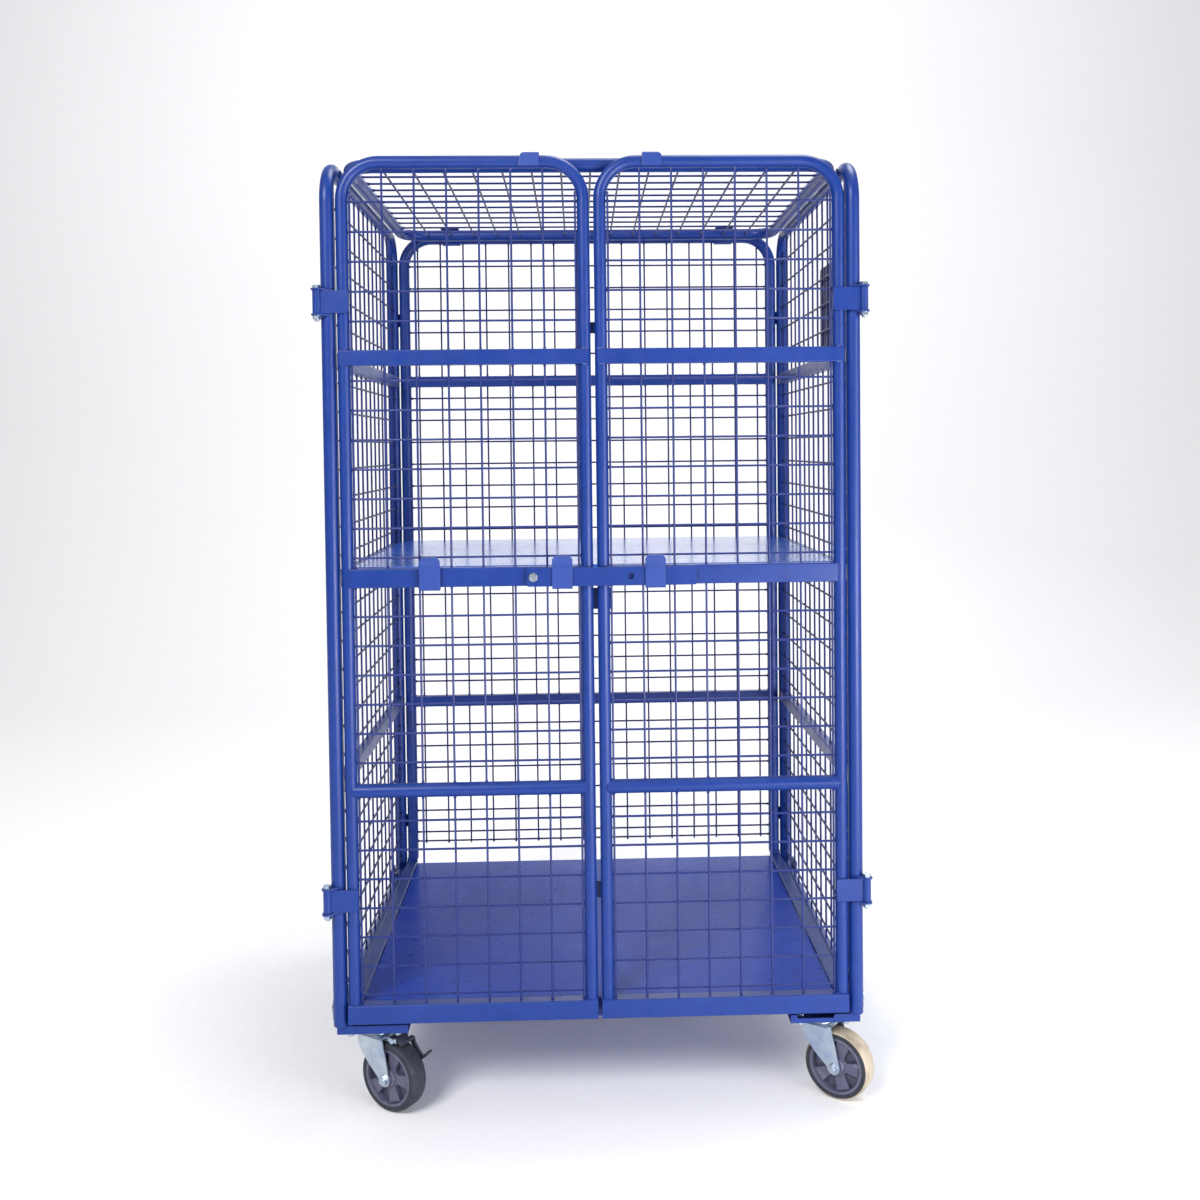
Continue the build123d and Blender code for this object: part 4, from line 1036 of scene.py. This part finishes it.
# ---------------------------------------------------------------- casters
# swivel x, y and heading in degrees
CASTERS = {
    "front_left": (-CASTER_X, CASTER_FRONT_Y, -33.0),
    "front_right": (CASTER_X, CASTER_FRONT_Y, -35.0),
    "rear_left": (-CASTER_X, CASTER_REAR_Y, 90.0),
    "rear_right": (CASTER_X, CASTER_REAR_Y, 90.0),
}
EYE_R = 12                  # rounded lower end of the fork legs
FORK_HALF = 28              # outer half width of the fork
FOLD_R = 6
FOLD_Z = CROWN_TOP - FOLD_R
# leading edge of the front fork: z, u
FRONT_EDGE = ((FOLD_Z, -22.8), (124, -23.0), (117, -21.6), (111, -18.8), (105, -15.2),
              (97, -9.2), (82, 4.4), (WHEEL_R, 26.0))
# outer halves of lathe profiles: along the axle, radius
TYRE_HALF = [(18.5, 51), (18.5, 55.6), (18.0, 56.2), (18.0, 57.2), (17.7, 58.4), (16.4, 60.4),
             (14.2, 61.4), (11.5, 61.95), (6, 62.35)]
HUB_HALF = [(23, 5.07), (23, 9.5), (22.4, 10.0), (20.5, 10.2), (20.0, 14.8), (18.8, 16.0)]
RIM_RING = [(-18.6, 46.2), (-18.6, 50.4), (-18.2, 51.0), (18.2, 51.0), (18.6, 50.4),
            (18.6, 46.2), (14.5, 45.4), (5.0, 44.6), (-5.0, 44.6), (-14.5, 45.4)]
# one web of the wheel centre: radius, degrees from its middle
WEB = ((14.5, 36), (19.5, 36), (21.5, 23), (45.8, 17),
       (45.8, -17), (21.5, -23), (19.5, -36), (14.5, -36))


def caster_matrix(tag):
    """Local u (X) runs towards the trailing axle, v (Y) along the axle."""
    x, y, heading = CASTERS[tag]
    turn = Matrix.Rotation(math.radians(heading), 4, "Z")
    return Matrix.Translation(Vector((x, y, 0))) @ turn


def fork_stations(leg, crown, tip, edge):
    """Half a fork from the crown's middle to a leg's tip: v, z, u0, u1, normal v, normal z."""
    stations = [(leg * 22 * i / 4, CROWN_TOP, crown[0], crown[1], 0, 1) for i in range(5)]
    for i in range(1, 7):
        cos, sin = math.cos(math.pi / 2 * i / 6), math.sin(math.pi / 2 * i / 6)
        stations.append((leg * (22 + FOLD_R * sin), FOLD_Z + FOLD_R * cos,
                         crown[0] + 1.2 * i / 6, crown[1] - 0.8 * i / 6, leg * sin, cos))
    u0, u1 = crown[0] + 1.2, crown[1] - 0.8
    for k in range(1, 15):
        z = FOLD_Z - (FOLD_Z - WHEEL_R) * k / 14
        fall = (FOLD_Z - z) / (FOLD_Z - WHEEL_R)
        # the leading edge runs straight or follows the table, the trailing edge falls faster
        lead = u0 + (tip - EYE_R - u0) * fall
        for (za, ua), (zb, ub) in zip(edge, edge[1:]):
            if zb <= z <= za:
                lead = ua + (ub - ua) * (za - z) / (za - zb)
        stations.append((leg * FORK_HALF, z, lead, u1 + (tip + EYE_R - u1) * fall ** 0.85,
                         leg, 0))
    for k in range(1, 8):
        turn = math.radians(88 * k / 7)
        reach = EYE_R * math.cos(turn)
        stations.append((leg * FORK_HALF, WHEEL_R - EYE_R * math.sin(turn),
                         tip - reach, tip + reach, leg, 0))
    return stations


def fork_sheet(part, crown, tip, edge=()):
    """Pressed fork: a crown with both legs folded down and tapering to a rounded eye."""
    thick, columns = 4.0, 9
    last = columns - 1
    verts, faces = part.bm.verts, part.bm.faces
    for leg in (-1, 1):
        outer, inner = [], []
        for v, z, u0, u1, normal_v, normal_z in fork_stations(leg, crown, tip, edge):
            outer_row, inner_row = [], []
            for c in range(columns):
                u = u0 + (u1 - u0) * c / last
                ease = 0.6 if c in (0, last) else 0.0
                for row, depth in ((outer_row, ease), (inner_row, thick - ease)):
                    row.append(verts.new((u, v - normal_v * depth, z - normal_z * depth)))
            outer.append(outer_row)
            inner.append(inner_row)
        for r in range(len(outer) - 1):
            out0, out1, in0, in1 = outer[r], outer[r + 1], inner[r], inner[r + 1]
            for c in range(last):
                faces.new((out0[c], out0[c + 1], out1[c + 1], out1[c]))
                faces.new((in0[c], in1[c], in1[c + 1], in0[c + 1]))
            for c in (0, last):
                faces.new((out0[c], out1[c], in1[c], in0[c]))
        for c in range(last):
            faces.new((outer[-1][c], outer[-1][c + 1], inner[-1][c + 1], inner[-1][c]))


def tyre(tag, local):
    part = Build()
    profile = [(-y, r) for y, r in TYRE_HALF] + [(0, WHEEL_R)] + TYRE_HALF[::-1]
    part.lathe(profile, (0, 0, 0), (0, 1, 0), 72)
    return part.make(f"tyre_{tag}_rubber", RUBBER, "wheel_" + tag, ["tyre_" + tag], "tyre",
                     local=local)


def dust_tread(ob, local):
    """Gives the faces of a tyre's tread the dusty material."""
    tread_from = 0.0592     # metres from the axle
    ob.data.materials.append(DUSTY_TREAD)
    axle = (local.to_3x3() @ Vector((0, 1, 0))).normalized()
    centre = place(*local.translation)
    for face in ob.data.polygons:
        offset = face.center - centre
        if (offset - axle * offset.dot(axle)).length > tread_from:
            face.material_index = 1


def rim(tag, local, swirl):
    """Cast wheel centre with five webs on each face of its disc, turned by swirl degrees."""
    part = Build()
    part.lathe(RIM_RING, (0, 0, 0), (0, 1, 0), 64)
    part.lathe([(-3.5, 14), (-3.5, 46), (3.5, 46), (3.5, 14)], (0, 0, 0), (0, 1, 0), 64)
    part.lathe(mirrored(HUB_HALF), (0, 0, 0), (0, 1, 0), 48)
    for k in range(5):
        middle = math.radians(72 * k + 54 + swirl)
        turns = [(radius, middle + math.radians(spread)) for radius, spread in WEB]
        outline = [(radius * math.cos(t), radius * math.sin(t)) for radius, t in turns]
        for sign in (-1, 1):
            part.prism(outline, "y", sign * 3, sign * 15, 1.2, 3)
    part.make(f"rim_{tag}_casting", RIM, "wheel_" + tag, ["rim_" + tag], "rim", 0.5, local)


def axle(tag, body, local):
    part = Build()
    part.rod(5.0, (0, -34, 0), (0, 34, 0), 28, 0.7)
    for sign in (-1, 1):
        part.hexagon(15, (0, sign * 28.05, 0), (0, sign * 33.4, 0))
        part.rod(9.2, (0, sign * 28.02, 0), (0, sign * 29.3, 0), 40, 0.3)
    part.make(f"axle_{tag}_bolt", ZINC, body, ["axle_" + tag], "zinc", 0.35, local)


def fork(tag, front, body, local):
    part = Build()
    # swivel dish above the crown: z, radius
    if front:
        fork_sheet(part, (-24, 34), TRAIL, FRONT_EDGE)
        dish = [(137.2, 6.08), (137.2, 27.5), (138.6, 27.2), (140.2, 25.6), (141.1, 22.5),
                (141.1, 6.08)]
    else:
        fork_sheet(part, (-40, 40), 0.0)
        dish = [(137.2, 3), (137.2, 27), (139, 26.5), (146.5, 25), (148, 25), (148, 3)]
    part.lathe(dish, (0, 0, 0), (0, 0, 1), 56)
    if tag == "front_left":
        # two ribs beside the pedal
        for v in (-18, 15):
            part.rbox(26, 58, v, v + 3, 129, 137.4, 0.9)
    part.make(f"fork_{tag}_pressing", ZINC, body, ["fork_" + tag], "zinc", local=local)


def caster(tag):
    front = tag.startswith("front")
    swivel = caster_matrix(tag)
    hub = swivel @ Matrix.Translation(Vector((TRAIL if front else 0.0, 0, WHEEL_R)))
    body = "caster_" + tag if front else "cage"
    rubber_ring = tyre(tag, hub)
    if tag == "front_right":
        dust_tread(rubber_ring, hub)
    rim(tag, hub, swirl=18 if front else 0)
    axle(tag, body, hub)
    fork(tag, front, body, swivel)


def top_plate(part, x, y):
    part.prism(rounded_rect(x - 52.5, x + 52.5, y - 42.5, y + 42.5, 8, 6), "z", 148, 151)


def front_caster_plates():
    part = Build()
    # z, radius
    race = [(141.4, 6.0), (141.4, 21.0), (141.9, 24.0), (144.0, 25.6), (146.4, 26.8),
            (148.1, 29.5), (148.1, 6.0)]
    pin_head = [(128.0, 0.01), (128.0, 8.5), (129.0, 10.0), (133.2, 10.0), (133.9, 9.0),
                (133.9, 0.01)]
    for x in (-CASTER_X, CASTER_X):
        top_plate(part, x, CASTER_FRONT_Y)
        part.lathe(race, (x, CASTER_FRONT_Y, 0), (0, 0, 1), 56)
        part.rod(6.0, (x, CASTER_FRONT_Y, 129), (x, CASTER_FRONT_Y, 142), 28)
        part.lathe(pin_head, (x, CASTER_FRONT_Y, 0), (0, 0, 1), 36)
    part.make("caster_plate_front_set", ZINC, "cage", ["caster_plates_front"], "zinc")


def rear_caster_plates():
    part = Build()
    for x in (-CASTER_X, CASTER_X):
        top_plate(part, x, CASTER_REAR_Y)
    part.make("caster_plate_rear_set", ZINC, "cage", ["caster_plates_rear"], "zinc")


def brake_pedal():
    """Brake pedal on the front left caster, in that caster's u, v and z."""
    part = Build()
    # outlines in (u, z)
    hood = [(46, 129.5), (46.6, 133.8), (48.6, 136.4), (51.4, 137), (54.5, 135.6), (68, 130),
            (68, 124.5), (62, 126.5), (56, 128.6)]
    arm = [(59.5, 130), (68, 130), (71, 120), (80, 108.5), (88, 99.5), (84, 93.5), (75, 101),
           (63, 115), (59.5, 122)]
    tread = [(82, 93.5), (84.5, 90.5), (98.5, 104), (97, 108), (87, 98.5)]
    part.prism(hood, "y", -13, 13, 1.0)
    part.rbox(59.5, 68, 10, 23.5, 124.5, 130, 1.0)
    part.prism(arm, "y", 19.5, 23.5, 0.8)
    part.prism(tread, "y", 19.5, 36, 0.9)
    # ridges across the tread
    for k in range(4):
        u, z = 87.5 + 2.6 * k, 98.9 + 2.5 * k
        part.rbox(u, u + 1.2, 24, 35, z - 0.6, z + 0.9, 0.35)
    part.make("brake_pedal_lever", BLACK, "pedal", ["brake_pedal"],
              local=caster_matrix("front_left"))


for tag in CASTERS:
    caster(tag)
front_caster_plates()
rear_caster_plates()
brake_pedal()


# ---------------------------------------------------------------- base: rails and pads
def base_rails():
    part = Build()
    for side in (-1, 1):
        part.rtube("y", -376, BACK_Y - 4, side * 424, side * 449, 167, 208, 2.6)
    for y0, y1 in ((-376, -344), (-135, -105), (125, 155), (358, 390)):
        part.rtube("x", -425, 425, y0, y1, 167, 200.9, 2.4)
    part.make("base_rails", POWDER, "cage", ["base_frame"], "powder_blue")


def caster_pads():
    """Upward-open channels over the casters; the front right one has its front flange cut."""
    part = Build()
    # section in (y from the caster, z): outer surface, then the inner one
    section = [(-55, 167)] + arc(-51, 155, 4, 180, 90, 6) + arc(51, 155, 4, 270, 90, 6)
    section += [(55, 167), (51, 167), (51, 155.05), (-51, 155.05), (-51, 167)]
    for x, y in CASTER_SPOTS:
        cut = x > 0 and y < 0
        rings = []
        for dx in (-63, -62.4, *((-52, -50, 14, 17) if cut else ()), 62.4, 63):
            ease = 0.5 if abs(dx) == 63 else 0
            ring = []
            for dy, z in section:
                if cut and -51 < dx < 16 and z > 166 and dy < 0:
                    z = 160.2
                if z < 154:
                    z += ease
                if abs(dy) > 51.5:
                    dy -= math.copysign(ease, dy)
                ring.append(Vector((x + dx, y + dy, z)))
            rings.append(ring)
        part.loft(rings)
    part.make("caster_pad_set", POWDER, "cage", ["caster_pads"], "powder_blue")


base_rails()
caster_pads()


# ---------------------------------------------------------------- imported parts
def dress_packed_parts():
    """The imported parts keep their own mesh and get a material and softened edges."""
    slots = {sub["node"]: sub.get("material_slot") for sub in frame["record"].get("subparts", [])}
    by_name = {"brake_pedal": BLACK, "shelf_sheet": SHELF}
    for name, ob in frame["nodes"].items():
        material = by_name.get(name) or SLOT_MATERIALS.get(slots.get(name), POWDER)
        ob.data.materials.clear()
        ob.data.materials.append(material)
        weld = ob.modifiers.new("weld", "WELD")
        weld.merge_threshold = 0.00001
        edge = ob.modifiers.new("edge", "BEVEL")
        edge.width = 0.0005
        edge.segments = 2
        edge.limit_method = "ANGLE"
        edge.angle_limit = math.radians(50)
        edge.harden_normals = False


dress_packed_parts()


# ---------------------------------------------------------------- floor, light and camera (metres)
def floor():
    """Paper sweep: flat floor curving up into a wall behind the cage."""
    profile = [(-7.0, 0.0)] + arc(3.2, 2.5, 2.5, -90, 90, 12) + [(5.7, 7.0)]
    drop = 0.0005
    bm = bmesh.new()
    previous = None
    for y, z in profile:
        row = [bm.verts.new((x, y, z - drop)) for x in (-9.0, -4.5, 0.0, 4.5, 9.0)]
        if previous:
            for i in range(4):
                bm.faces.new((previous[i], previous[i + 1], row[i + 1], row[i]))
        previous = row
    mesh = bpy.data.meshes.new("studio_floor")
    bm.to_mesh(mesh)
    bm.free()
    mesh.shade_smooth()
    ob = bpy.data.objects.new("studio_floor", mesh)
    bpy.context.scene.collection.objects.link(ob)
    sh = Shader("floor_paper")
    mottling = sh.patches(scale=60.0, detail=4.0, rough=0.6, span=(0.3, 0.7))
    sh.surface({
        "Base Color": sh.mix(mottling, (0.90, 0.90, 0.91), (0.93, 0.93, 0.935)),
        "Roughness": 0.9,
        "Specular IOR Level": 0.1,
    })
    mesh.materials.append(sh.material)


def area(name, location, target, size, power, color=(1, 1, 1), hidden=False):
    light = bpy.data.lights.new(name, "AREA")
    light.shape = "RECTANGLE"
    light.size, light.size_y = size
    light.energy = power
    light.color = color
    ob = bpy.data.objects.new(name, light)
    ob.location = location
    aim = Vector(target) - Vector(location)
    ob.rotation_euler = aim.to_track_quat("-Z", "Y").to_euler()
    bpy.context.scene.collection.objects.link(ob)
    if hidden:
        ob.visible_camera = False


def world():
    studio = bpy.data.worlds.new("studio")
    bpy.context.scene.world = studio
    studio.use_nodes = True
    background = studio.node_tree.nodes["Background"]
    background.inputs["Color"].default_value = (0.95, 0.97, 1.0, 1)
    background.inputs["Strength"].default_value = 0.38
    bpy.context.scene.view_settings.view_transform = "Standard"
    bpy.context.scene.view_settings.exposure = 0.0


def camera():
    """Camera in front of the doors, turned by yaw, pitch and roll in radians."""
    data = bpy.data.cameras.new("camera")
    ob = bpy.data.objects.new("camera", data)
    bpy.context.scene.collection.objects.link(ob)
    bpy.context.scene.camera = ob
    yaw, pitch, roll = -0.0327, 0.0311, 0.0108
    level = Vector((math.cos(yaw), math.sin(yaw), 0))
    forward = Vector((-math.sin(yaw) * math.cos(pitch), math.cos(yaw) * math.cos(pitch),
                      -math.sin(pitch)))
    below = forward.cross(level)
    right = level * math.cos(roll) + below * math.sin(roll)
    down = level * -math.sin(roll) + below * math.cos(roll)
    turn = Matrix((right, -down, -forward)).transposed()
    ob.matrix_world = Matrix.Translation(place(-26.9, DOOR_Y - 2251.0, 1191.6)) @ turn.to_4x4()
    data.sensor_fit = "HORIZONTAL"
    data.sensor_width = 36.0
    data.lens = 38.184
    data.clip_start = 0.05
    data.shift_x = -0.01725
    data.shift_y = -0.09375


floor()
area("key", location=(-1.9, -3.6, 3.4), target=(0, 0, 0.7), size=(1.7, 1.7), power=180,
     color=(1.0, 0.99, 0.97))
area("fill", location=(3.4, -2.6, 1.2), target=(0, 0, 0.5), size=(2.0, 1.8), power=62,
     color=(0.96, 0.98, 1.0))
area("top", location=(0.9, 0.4, 4.4), target=(0, 0, 0.6), size=(1.8, 1.8), power=90)
area("back", location=(1.2, 4.2, 3.0), target=(0, 0.2, 1.2), size=(3.0, 2.0), power=30)
area("wall", location=(0.0, 2.6, 4.6), target=(0.0, 6.2, 3.0), size=(6.0, 1.6), power=70,
     hidden=True)
area("bounce", location=(1.7, -2.7, 0.5), target=(0.3, 0, 0.2), size=(1.6, 0.7), power=62,
     color=(0.98, 0.96, 1.0), hidden=True)
world()
camera()
